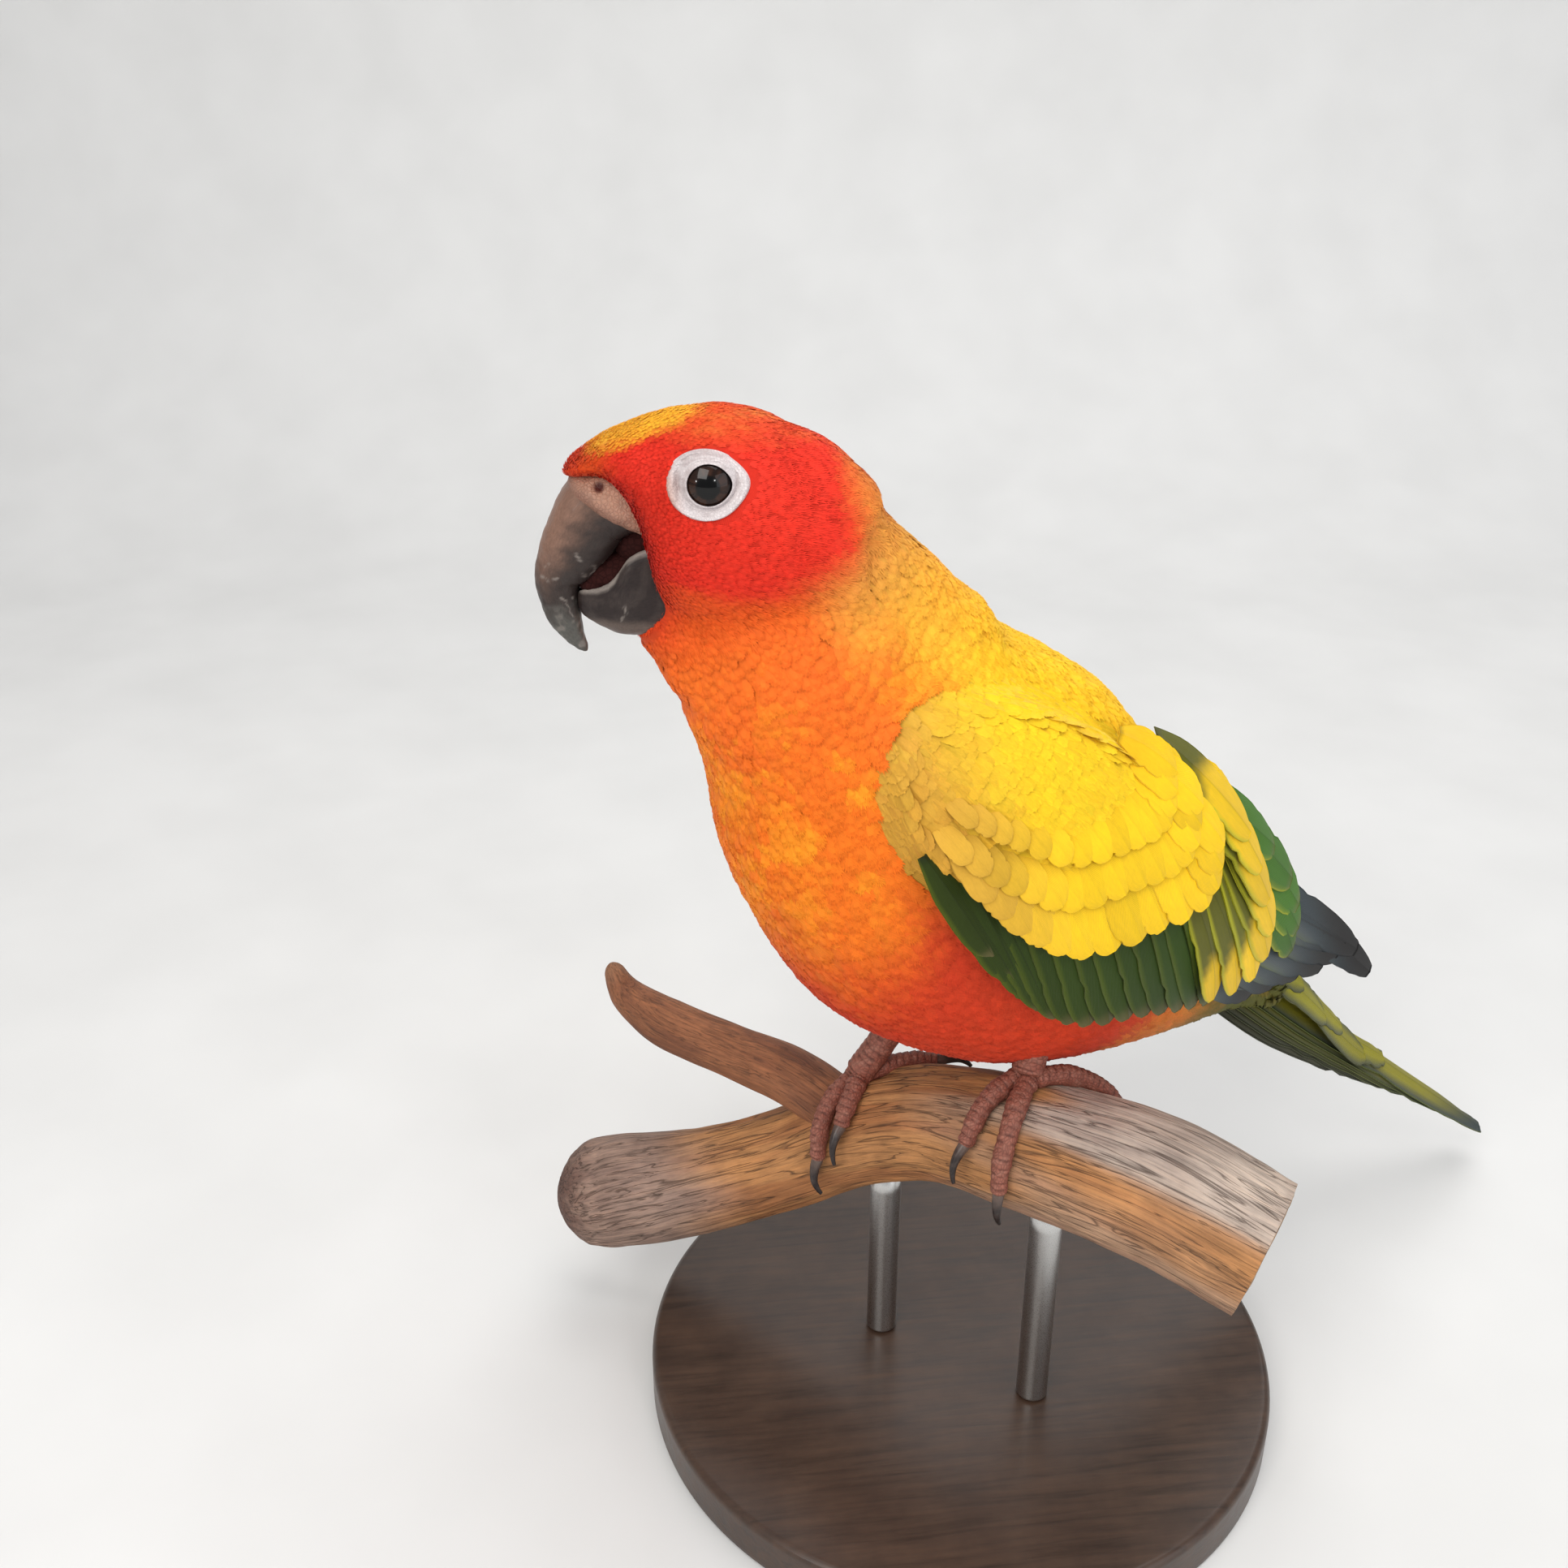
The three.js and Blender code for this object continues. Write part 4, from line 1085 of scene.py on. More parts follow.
def secondaryTint(u, v, share):
    f = flightShades
    tint = mix(f["green"], f["greenMid"], 0.3 + 0.5 * share)
    tint = mix(tint, f["edgeGreen"], (1 - smooth(-0.98, -0.75, u)) * 0.4)
    return mix(tint, f["tipGrey"], smooth(0.88, 0.99, v) * 0.6)


def tertialTint(u, v, share):
    f = flightShades
    reach = 0.55 + 0.12 * np.abs(u) - 0.25 * share
    tint = mix(f["tertialBase"], f["yellow"], smooth(reach, reach + 0.16, v))
    return mix(tint, f["edgeYellow"], (1 - smooth(-1.0, -0.7, u)) * 0.8)


def covertTint(u, v, share):
    f = flightShades
    tint = mix(f["yellow"], f["yellowDeep"], (1 - smooth(-0.9, 0.1, u)) * 0.25)
    tint = mix(tint, f["yellowDeep"], (1 - smooth(0.2, 0.7, v)) * 0.6)
    return mix(tint, f["tan"], (1 - smooth(0.0, 0.46, share)) * 0.8)


def scapularTint(u, v, share):
    f = flightShades
    return mix(f["yellowDeep"], f["yellow"], smooth(0.1, 0.6, v + 0.1 * u))


# Flight feathers and large coverts in the folded wing's plane, inner tiers first: rows [p, q] of
# their tips, rows [angle, length, half width] of their vanes
wingTiers = [
    {"name": "primaries", "count": 8, "lift": -0.6, "sink": 1.8, "shingle": 0.7, "narrow": 1.0,
     "tint": primaryTint, "tips": [[152, 0.8], [137, 5], [135, 0], [122, -5], [106, -10.5]],
     "lie": [[-9, 82, 4.4], [-4, 66, 5.0], [-4, 58, 5.0], [-7, 44, 4.4]]},
    {"name": "rear", "count": 5, "lift": 0.4, "sink": 4.0, "shingle": 0.5, "narrow": 1.0,
     "tint": rearTint, "tips": [[111, 0], [109, 5.5], [103, 10.5], [91, 16]],
     "lie": [[-24, 42, 5.2], [-20, 42, 5.4], [-15, 40, 5.2], [-10, 38, 4.6]]},
    {"name": "secondaries", "count": 16, "lift": 0.8, "sink": 1.6, "shingle": 0.7, "narrow": 0.8,
     "tint": secondaryTint, "tips": [[30, -17.0], [42, -21.2], [56, -23.0], [70, -17.5], [86, -13]],
     "lie": [[-26, 22, 3.4], [-31, 30, 4.4], [-37, 37, 4.8], [-36, 42, 4.8]]},
    {"name": "tertials", "count": 8, "lift": 2.2, "sink": 3.0, "shingle": 0.6, "narrow": 0.86,
     "tint": tertialTint, "tips": [[84, -11.5], [95, -7], [96, 0], [86, 8], [75, 15.5]],
     "lie": [[-36, 28, 4.2], [-32, 30, 4.8], [-27, 30, 4.8], [-20, 28, 4.6]]},
    {"name": "coverts", "count": 14, "lift": 2.6, "sink": 3.4, "shingle": 0.4, "narrow": 0.8,
     "tint": covertTint, "tips": [[22, -8.2], [34, -11], [46, -10.4], [57, -3.5], [67, 4], [66, 12]],
     "lie": [[-26, 11, 3.0], [-30, 17, 4.4], [-33, 20, 5.4], [-34, 20, 5.4], [-22, 20, 5.0]]},
    {"name": "median", "count": 16, "lift": 2.6, "sink": 3.2, "shingle": 0.25, "narrow": 0.8,
     "tint": covertTint, "tips": [[15, -4.5], [26, -5.5], [38, -4.5], [49, 2], [58, 8], [58, 16]],
     "lie": [[-22, 7, 2.3], [-27, 10, 3.3], [-30, 13, 4.4], [-32, 15, 4.6], [-20, 15, 4.4]]},
    {"name": "lesser", "count": 15, "lift": 2.4, "sink": 2.8, "shingle": 0.2, "narrow": 0.8,
     "tint": covertTint, "tips": [[13, 0.5], [22, 0.5], [34, 1.5], [44, 6.5], [51, 12], [50, 19]],
     "lie": [[-20, 5.5, 1.9], [-25, 7.5, 2.6], [-28, 10, 3.6], [-28, 12, 4.0], [-14, 12, 3.8]]},
    {"name": "scapulars", "count": 7, "lift": 0.9, "sink": 4.0, "shingle": 0.2, "narrow": 0.85,
     "tint": scapularTint, "tips": [[52, 20.5], [60, 19.5], [71, 20]],
     "lie": [[-16, 11, 3.0], [-12, 15, 4.0], [-9, 17, 4.2]]},
]
darkShafts = ("primaries", "rear", "secondaries", "tertials")
shaft = {"rise": 0.16, "width": 0.07, "dark": 0.6, "pale": 0.15}
vaneThickness = 0.22
vaneRows = 1 - np.linspace(1, 0, 20) ** 1.5
vaneColumns = np.array([-1, -0.9, -0.7, -0.4, -0.06, 0, 0.06, 0.4, 0.7, 0.9, 1])


def edgeNotches(seed):
    # small splits where barbs part, as a factor on the half width
    dice = np.random.default_rng(seed)
    factor = np.ones((len(vaneRows), len(vaneColumns)))
    for side in (slice(0, 2), slice(-2, None)):
        for row in dice.choice(np.arange(6, len(vaneRows) - 1), 2, replace=False):
            factor[row, side] -= dice.uniform(0.05, 0.16)
    return factor * (1 + dice.normal(0, 0.008, factor.shape))


def addVane(shape, placeAt, tintOf, share, seed, cell, mirror=1, shaftDark=shaft["dark"]):
    # a closed thin vane: outer face, inner face and rim
    v, u = np.meshgrid(vaneRows, vaneColumns, indexing="ij")
    notched = u * edgeNotches(seed)
    rise = shaft["rise"] * np.exp(-(u / shaft["width"]) ** 2)
    outer = placeAt(v, notched, rise)
    inner = placeAt(v, notched, rise - vaneThickness)
    tint = tintOf(u, v, share) * np.random.default_rng(seed).uniform(0.88, 1.12)
    tint = mix(tint, tint * 0.55, np.exp(-(u / 0.05) ** 2) * shaftDark)
    rows, columns = u.shape
    quads = gridFaces(rows, columns)
    n = rows * columns
    rim = np.concatenate([np.arange(columns), np.arange(1, rows) * columns + columns - 1,
                          (rows - 1) * columns + np.arange(columns - 2, -1, -1),
                          np.arange(rows - 2, 0, -1) * columns])
    following = np.roll(rim, -1)
    edge = np.column_stack([rim, following, following + n, rim + n])
    vane = np.stack([u, v, np.full(u.shape, seed * 0.37)], -1).reshape(-1, 3)
    bake = gridPlaces(rows, columns, cell)
    points = np.vstack([outer.reshape(-1, 3), inner.reshape(-1, 3)]) * np.array([mirror, 1, 1])
    tints = np.vstack([tint.reshape(-1, 3), tint.reshape(-1, 3) * 0.8])
    shape.add(points, [quads, quads[:, ::-1] + n, edge], tints, np.vstack([vane, vane]),
              np.vstack([bake, bake]))


def wingShape(mirror):
    shape = Shape()
    seed = 0
    total = sum(tier["count"] for tier in wingTiers)
    for tier in wingTiers:
        shares = np.linspace(0, 1, tier["count"])
        tips = runAlong([[*row, 0] for row in tier["tips"]], shares)
        lies = runAlong(tier["lie"], shares)
        dice = np.random.default_rng(len(tier["name"]) + (3 if mirror < 0 else 0))
        for i, share in enumerate(shares):
            angle = math.radians(lies[i, 0] + dice.normal(0, 1.2))
            length = lies[i, 1] * dice.uniform(0.97, 1.02)
            half = lies[i, 2] * tier["narrow"]
            cos, sin = math.cos(angle), math.sin(angle)
            lift = tier["lift"] + dice.normal(0, 0.06)

            def placeAt(v, u, up):
                body = vaneShape(v)
                back = (1 - v) * length
                side = u * half * body
                rise = (lift - tier["sink"] * (1 - v) ** 2 - tier["shingle"] * u * body
                        - 0.25 * u * u + up)
                return wingPoint(tips[i, 0] - back * cos - side * sin,
                                 tips[i, 1] - back * sin + side * cos, rise)
            addVane(shape, placeAt, tier["tint"], share, seed + 100 * (mirror < 0),
                    atlasCell(seed, 8, math.ceil(total / 8)), mirror,
                    shaft["dark" if tier["name"] in darkShafts else "pale"])
            seed += 1
    return shape


# Tail: pairs of long tapered feathers from under the rump, the middle pair longest
tail = {"root": (104, -105), "tip": (201, -179), "pairs": 6, "shortest": 0.52, "halfWidth": 5.2,
        "narrowing": 0.4, "spread": 3.2, "drop": 0.9, "roof": 0.8, "ridge": 4.4, "seed": 300}


def tailTint(u, v, share):
    f = flightShades
    tint = mix(f["tailOlive"], f["tailBlue"], smooth(0.72, 1.0, v + 0.06 * u))
    tint = mix(tint, f["tailGrey"], smooth(0.2, 0.9, share) * 0.85)
    tint = mix(tint, f["tailBlue"], smooth(0.5, 0.85, np.abs(u)) * (0.9 - 0.5 * share))
    return mix(tint, f["edgeGreen"], smooth(0.93, 1.0, np.abs(u)) * 0.6 * (1 - share))


def rumpCoverTint(u, v, share):
    f = flightShades
    tint = mix(f["tailOlive"], f["edgeYellow"], 0.3 * (1 - smooth(0.0, 0.9, share + 0.3 * v)))
    return mix(tint, f["tailBlue"], smooth(0.45, 0.9, np.abs(u)) * 0.75)


# Short feathers over the tail's root, in rows down the tail
rumpCovers = {"rows": 5, "half": 3.8, "side": 1.3, "stagger": 2.2, "length": 26, "longer": 2,
              "start": 5, "step": 8, "sink": 0.2, "rise": 5.0, "ridge": 4.2}


def tailShape():
    shape = Shape()
    root = np.array([0, *tail["root"]], float)
    run = np.array([0, *tail["tip"]], float) - root
    full = np.linalg.norm(run)
    run = run / full
    up = np.array([0, -run[2], run[1]])
    seed = tail["seed"]
    for pair in range(tail["pairs"]):
        share = pair / (tail["pairs"] - 1)
        length = full * (1 - (1 - tail["shortest"]) * share ** 0.8)
        for side in (-1, 1):
            out = side * (1.6 + tail["spread"] * share)
            below = tail["drop"] * pair + (0 if side > 0 else 0.4)

            def placeAt(v, u, rise):
                half = tail["halfWidth"] * (1 - tail["narrowing"] * v) * vaneShape(v)
                x = out * (1 - 0.25 * v) + u * half
                ridge = tail["ridge"] * (1 - 0.6 * (v * length / full) ** 2)
                height = ridge - below * (1 - 0.4 * v) - tail["roof"] * np.abs(x) + rise
                line = root + run * (v * length)[..., None] + up * height[..., None]
                line[..., 0] += x
                return line
            addVane(shape, placeAt, tailTint, share, seed, atlasCell(seed - tail["seed"], 4, 6))
            seed += 1
    c = rumpCovers
    for row in range(c["rows"]):
        for side in (-1, 1):

            def placeAt(v, u, rise):
                half = c["half"] * vaneShape(v)
                x = side * (c["side"] + c["stagger"] * (row % 2)) + u * half
                along = v * (c["length"] + c["longer"] * row) + c["start"] + c["step"] * row
                drop = c["sink"] * row + tail["roof"] * np.abs(x) - rise
                height = c["rise"] + c["ridge"] * (1 - smooth(24, 60, along)) - drop
                line = root + run * along[..., None] + up * height[..., None]
                line[..., 0] += x
                return line
            addVane(shape, placeAt, rumpCoverTint, row / (rumpCovers["rows"] - 1), seed,
                    atlasCell(seed - tail["seed"], 4, 6))
            seed += 1
    return shape


# Eyes with their rings of bare skin
eyeShades = {
    "iris": (0.036, 0.015, 0.009), "streak": (0.015, 0.007, 0.005), "pupil": (0.002, 0.002, 0.002),
    "rim": (0.005, 0.003, 0.003), "back": (0.01, 0.006, 0.005), "lidPale": (0.66, 0.60, 0.60),
    "lidPatchAndCreaseShade": (0.50, 0.43, 0.43), "lidFrontShadow": (0.52, 0.27, 0.19), "lidEdge": (0.10, 0.07, 0.07),
}


def eyeShape(mirror):
    shape = Shape()
    turn = np.linspace(0, 2 * math.pi, 72, endpoint=False)
    tilt = np.linspace(0.01, math.pi - 0.01, 60)
    r = eye["radius"]
    out, ring = np.cos(tilt), np.sin(tilt)
    ball = np.stack([np.outer(out, np.ones(72)), np.outer(ring, np.cos(turn)),
                     np.outer(ring, np.sin(turn))], -1) * r
    away = np.hypot(ball[..., 1], ball[..., 2])
    front = ball[..., 0] > 0
    streak = mottle(np.stack([away * 0.4, np.arctan2(ball[..., 2], ball[..., 1]) * 6, away * 0], -1), 1.2, 9)
    e = eyeShades
    tint = mix(e["iris"], e["streak"], smooth(-0.6, 0.6, streak))
    tint = mix(tint, e["pupil"], 1 - smooth(eye["pupil"] - 0.1, eye["pupil"] + 0.1, away))
    tint = mix(tint, e["rim"], smooth(eye["iris"] - 0.4, eye["iris"], away))
    tint = np.where(front[..., None], tint, e["back"])
    ball = ball + np.array(eye["at"])
    addTube(shape, fromHead(ball * np.array([mirror, 1, 1])), tint, ball)
    return shape


def ringShape(tree, mirror):
    # from the lid's edge on the eyeball out to the feathers, folded by fine wrinkles
    shape = Shape()
    turn = np.linspace(0, 2 * math.pi, 160, endpoint=False)
    share = np.concatenate([np.linspace(0, 0.3, 9), np.linspace(0.36, 1.06, 16)])
    _, long, high = eyeRing["half"]
    outer = np.stack([eyeRing["at"][1] + long * ringPull(turn) * np.cos(turn),
                      eyeRing["at"][2] + high * np.sin(turn)], -1)
    r = eye["iris"] - 0.05
    lid = np.stack([eyeRing["lidAt"][0] + r * (1 + 0.10 * np.maximum(0, np.cos(turn)) ** 4) * np.cos(turn),
                    eyeRing["lidAt"][1] + r * 0.97 * np.sin(turn)], -1)
    flat = lid[None] * (1 - share[:, None, None]) + outer[None] * share[:, None, None]
    y, z = flat[..., 0], flat[..., 1]
    skinX = np.zeros(y.shape)
    for i in range(y.shape[0]):
        for j in range(y.shape[1]):
            start = fromHead(np.array([30.0 * mirror, y[i, j], z[i, j]]))
            way = fromHead(np.array([-1.0 * mirror, 0, 0]))
            hit = tree.ray_cast(tuple(start), tuple(way))
            skinX[i, j] = abs(toHead(np.array(hit[0]))[0]) if hit[0] else 11
    ball = eye["at"][0] + np.sqrt(np.maximum(
        eye["radius"] ** 2 - (y - eye["at"][1]) ** 2 - (z - eye["at"][2]) ** 2, 0.5))
    s = share[:, None]
    x = np.maximum(ball, skinX) + 0.12
    x = (x + 0.34 * np.exp(-((s - 0.09) / 0.10) ** 2) + 0.42 * smooth(0.2, 0.5, s)
         - 0.75 * smooth(0.86, 1.06, s))
    wave = mottle(np.stack([np.cos(turn)[None] * 6 * (1 + 0 * s), np.sin(turn)[None] * 6 * (1 + 0 * s),
                            s * 5 + 0 * turn[None]], -1), 3.2, 12)
    folds = np.sin(s * 19 + 4.5 * wave) * 0.055 * smooth(0.2, 0.35, s) * (1 - smooth(0.85, 1, s))
    creases = np.sin(turn[None] * 22 + 3 * wave) * 0.05 * (1 - smooth(0.1, 0.4, s)) * smooth(0.0, 0.1, s)
    x = x + folds + creases
    points = np.stack([x, y, z], -1)
    # painted shadow on the ring's front part, tinted tan below
    front = 1 - smooth(-5.4, -2.6, y + 0.25 * (z - 5.5))
    e = eyeShades
    # darker skin in random patches, with painted shade in the creases of the folds
    tint = mix(e["lidPale"], e["lidPatchAndCreaseShade"], smooth(-0.3, 1.0, wave - 6.0 * folds))
    tint = mix(tint, e["lidFrontShadow"], front * 0.75)
    tint = mix(tint, e["lidEdge"], (1 - smooth(0.0, 0.05, s)) * np.ones_like(y))
    rows, columns = y.shape
    shape.add(fromHead(points * np.array([mirror, 1, 1])), [gridFaces(rows, columns, closed=True)],
              tint.reshape(-1, 3), points, gridPlaces(rows, columns))
    return shape


# Bill and cere, in the head's frame
upperBill = [
    [-8.5, 0.6, 6.0, 4.4], [-11.4, 0.8, 6.4, 4.9], [-15.2, -0.4, 6.4, 5.6], [-17.9, -4.2, 5.9, 5.2],
    [-20.0, -7.6, 4.9, 4.6], [-21.7, -10.6, 3.7, 3.5], [-21.8, -13.6, 2.8, 2.9], [-21.2, -16.8, 2.2, 2.5],
    [-19.9, -19.9, 1.3, 1.5], [-18.2, -22.4, 0.5, 0.55],
]
lowerBill = [
    [-4.5, -11.6, 5.6, 7.3], [-8.0, -12.0, 6.0, 7.3], [-10.8, -12.7, 5.8, 6.6], [-13.2, -14.2, 5.1, 4.8],
    [-15.5, -14.6, 4.2, 3.4], [-17.5, -14.4, 3.1, 2.6], [-19.2, -14.1, 1.8, 1.6],
]
billSetup = {
    "squareness": 2.7, "cereAt": (0, -14.8, 0.4), "cereFacing": (0, -0.54, -0.84), "cereRise": 0.5,
    "nostril": (5.4, -14.4, 3.4), "nostrilRadius": 1.0, "tongueAt": (0, -11.6, -10.0),
    "tongueHalf": (4.1, 7.2, 3.7), "liningAt": (0, -8.0, -5.5), "liningHalf": (4.7, 5.6, 4.6),
    "tan": (0.22, 0.122, 0.086), "dark": (0.020, 0.013, 0.012), "side": (0.036, 0.026, 0.023),
    "pale": (0.31, 0.27, 0.24), "tip": (0.095, 0.095, 0.085), "lowEdge": (0.15, 0.11, 0.09),
    "cere": (0.42, 0.225, 0.15), "cereWorn": (0.32, 0.17, 0.12), "cereEdge": (0.22, 0.10, 0.07),
    "nostrilShade": (0.075, 0.016, 0.012),
    # mouth: near black, the dark tongue and lining deepened as painted shade of the mouth's hollow
    "mouth": (0.030, 0.008, 0.007), "tongueTipAt": (0, -16.2, -11.5), "tongueTipHalf": (3.3, 2.8, 2.0),
}
# pale cracks in the horn, as points [y, z] on both sides
billCracks = [
    [(-23.9, -9.6), (-22.9, -10.4), (-21.3, -10.0)], [(-23.1, -8.2), (-22.3, -7.7)],
    [(-18.3, -5.9), (-17.7, -7.1)], [(-18.1, -8.9), (-17.3, -9.7), (-16.2, -9.3)],
    [(-16.1, -8.0), (-15.6, -9.5), (-14.8, -8.6), (-14.6, -7.6)],
    [(-21.2, -13.3), (-20.2, -13.9), (-19.6, -13.5)], [(-20.6, -14.4), (-19.6, -16.3)],
    [(-11.9, -13.3), (-11.5, -14.6), (-12.4, -15.9)],
]


def crackMask(points, width):
    # 1 along the cracks, fading over the width
    flat = points[..., 1:]
    nearest = np.full(flat.shape[:-1], 9.0)
    for line in billCracks:
        for a, b in zip(line[:-1], line[1:]):
            a, b = np.array(a), np.array(b)
            t = np.clip(((flat - a) @ (b - a)) / ((b - a) @ (b - a)), 0, 1)
            nearest = np.minimum(nearest, np.linalg.norm(flat - a - t[..., None] * (b - a), axis=-1))
    return (1 - smooth(0.05, width, nearest)) * smooth(-0.5, 0.3, mottle(points, 0.6, 20))


def upperBillShape():
    shape = Shape()
    b = billSetup
    points, t, around = loftGrid(midRows(upperBill), 128, 150, ends=(0, 0.05), squareness=b["squareness"])
    low = -np.cos(around)[None] + 0 * t[:, None]
    along = t[:, None] + 0 * around[None]
    spots = mottle(points, 1.5, 14)
    fine = mottle(points, 0.7, 15)
    tint = mix(b["side"], b["tan"],
               smooth(-0.35, 0.85, low + 0.2 * spots) * (1 - smooth(0.42, 0.68, along + 0.05 * spots)))
    tint = mix(tint, b["dark"], smooth(0.1, 0.9, -low + 0.3 * spots) * 0.8)
    tint = mix(tint, b["tip"], smooth(0.64, 0.86, along + 0.05 * spots) * 0.85)
    tint = mix(tint, b["pale"], smooth(0.2, 0.8, spots + 0.3 * fine) * smooth(0.68, 0.8, along) * 0.35)
    tint = mix(tint, b["pale"], crackMask(points, 0.32) * 0.6)
    points = points + 0.05 * fine[..., None] * outwards(points)
    addTube(shape, fromHead(points), tint, roundPlaces(points, around))
    return shape


def cereShape():
    shape = Shape()
    b = billSetup
    points = loftGrid(midRows(upperBill[:6]), 160, 130, ends=(0, 0), squareness=b["squareness"])[0]
    beyond = (points - np.array(b["cereAt"])) @ np.array(b["cereFacing"])
    beyond = beyond + 0.35 * mottle(points, 2.5, 16)
    grow = b["cereRise"] * (1 - smooth(-0.9, 0.1, beyond)) - 0.5 * smooth(-0.3, 0.6, beyond)
    grow = grow + 0.35 * np.exp(-((beyond + 1.4) / 1.1) ** 2)
    folded = np.abs(points * np.array([1, 0, 0])) + points * np.array([0, 1, 1])
    gap = np.linalg.norm(folded - np.array(b["nostril"]), axis=-1)
    r = b["nostrilRadius"]
    grow = grow + 0.18 * np.exp(-((gap - r * 1.4) / 0.4) ** 2) - 0.45 * (1 - smooth(r * 0.35, r * 0.9, gap))
    wrinkle = mottle(points, 1.2, 17)
    tint = mix(b["cere"], b["cereWorn"], smooth(-0.2, 0.8, wrinkle) * 0.6)
    tint = mix(tint, b["cereEdge"], smooth(-2.4, -0.1, beyond) * 0.65)
    # painted shade inside the nostril's shallow hollow
    tint = mix(tint, b["nostrilShade"], 1 - smooth(r * 0.55, r * 1.1, gap))
    points = points + outwards(points) * (grow + 0.05 * wrinkle)[..., None]
    addTube(shape, fromHead(points), tint, points)
    return shape


def lowerBillShape():
    shape = Shape()
    b = billSetup
    points, _, around = loftGrid(midRows(lowerBill), 96, 72, ends=(0, 0.1), upright=True,
                                 squareness=b["squareness"])
    # the mouth: the upper part drops away inside the upper bill's edge
    edge = np.interp(points[..., 1], [-18.1, -15.6, -14.1, -13.0, -12.3, -11.4, -9.3, -7.8, -5.0],
                     [-11.9, -11.4, -10.7, -9.6, -8.1, -6.8, -5.5, -5.0, -5.0])
    half = np.abs(points[..., 0]).max(1, keepdims=True)
    inside = 1 - smooth(0.62, 0.86, np.abs(points[..., 0]) / half)
    centre = points[..., 2].mean(1, keepdims=True)
    top = points[..., 2] > centre
    deep = points[..., 2].max(1, keepdims=True) - centre
    rise = np.clip((points[..., 2] - centre) / deep, 0, 1)
    points[..., 2] = np.where(top, centre + deep * (1 - (1 - rise) ** 2.4), points[..., 2])
    points[..., 2] = np.where(top, np.minimum(points[..., 2], edge) - 2.6 * inside, points[..., 2])
    over = points[..., 2] - edge + 0.5
    spots, fine = mottle(points, 1.6, 18), mottle(points, 0.8, 19)
    tint = mix(b["dark"], b["side"], smooth(-0.3, 0.6, spots))
    rim = smooth(-0.6, 0.1, over) * (1 - inside)
    tint = mix(tint, b["pale"], rim * 0.7)
    tint = mix(tint, b["lowEdge"], (1 - smooth(-16.9, -15.6, points[..., 2] + 0.3 * spots)) * 0.6)
    tint = mix(tint, b["pale"], crackMask(points, 0.32) * 0.5)
    # the inside of the mouth in near black: its own dark colour with painted shade of the hollow
    tint = mix(tint, b["mouth"], inside * top)
    points = points + 0.04 * fine[..., None] * outwards(points)
    addTube(shape, fromHead(points), tint, roundPlaces(points, around), (0, 0, 1, 0.8))
    return shape


def mouthShape():
    # the tongue, its tip and the lining behind it, near black: their own dark colour deepened as painted
    # shade of the mouth's hollow
    shape = Shape()
    for i, part in enumerate(("tongue", "tongueTip", "lining")):
        ball = ballGrid(billSetup[part + "At"], billSetup[part + "Half"], 32, 20)
        ball = ball + 0.15 * mottle(ball, 1.6, 44)[..., None]
        addTube(shape, fromHead(ball), billSetup["mouth"], ball, atlasCell(i, 2, 2))
    return shape


# Driftwood: rows [x, y, z, half width, half height], from the cut end
limbSections = [
    [52, 78, -127, 12.2, 12.6], [35, 67, -122, 12.6, 13.0], [16, 55, -121.5, 12.0, 12.2],
    [0, 46, -124.5, 10.6, 10.8], [-12, 37.5, -131.5, 9.8, 10.0], [-24, 27, -142, 9.6, 9.8],
    [-38, 13, -153, 10.4, 10.6], [-50, 0, -160, 11.6, 11.4], [-57, -12, -162, 9.4, 9.4],
]
twigSections = [
    [-14, 34, -128, 6.2, 6.0], [-26, 28, -124.8, 6.0, 5.6], [-38, 21, -124.2, 5.4, 5.2],
    [-52, 12, -122.8, 5.2, 5.0], [-62, 7, -119.5, 3.6, 3.4], [-65, 5, -113.5, 1.6, 1.6],
]
limbSide = np.array([0.515, -0.857, 0])
limbRows = np.asarray(limbSections, float)
woodShades = {
    # grey is partly real weathering and partly painted highlight on the limb's top
    "light": (0.46, 0.22, 0.085), "grey": (0.50, 0.43, 0.38), "stub": (0.30, 0.22, 0.19),
    "knob": (0.13, 0.07, 0.055), "twig": (0.30, 0.12, 0.055), "cut": (0.46, 0.30, 0.18),
    "lightGrain": (0.34, 0.13, 0.05), "twigGrain": (0.17, 0.065, 0.035), "twigTip": (0.42, 0.22, 0.12),
}


def atShare(rows, share):
    return runAlong(rows, np.array([share]))[0]


def woodShape(sections, sides, rings, ends, rough, tintOf):
    shape = Shape()
    points, t, around = loftGrid(sections, sides, rings, side=limbSide, ends=ends)
    place = roundPlaces(points, around)
    ridges = place * np.array([1, 0.09, 1])
    bumps = 0.55 * mottle(ridges, 2.6, 23) + 0.35 * mottle(place, 9, 24) + 0.25 * mottle(ridges, 1.1, 25)
    points = points + outwards(points) * (rough * bumps)[..., None]
    addTube(shape, points, tintOf(points, place, t[:, None] + 0 * around), place)
    return shape


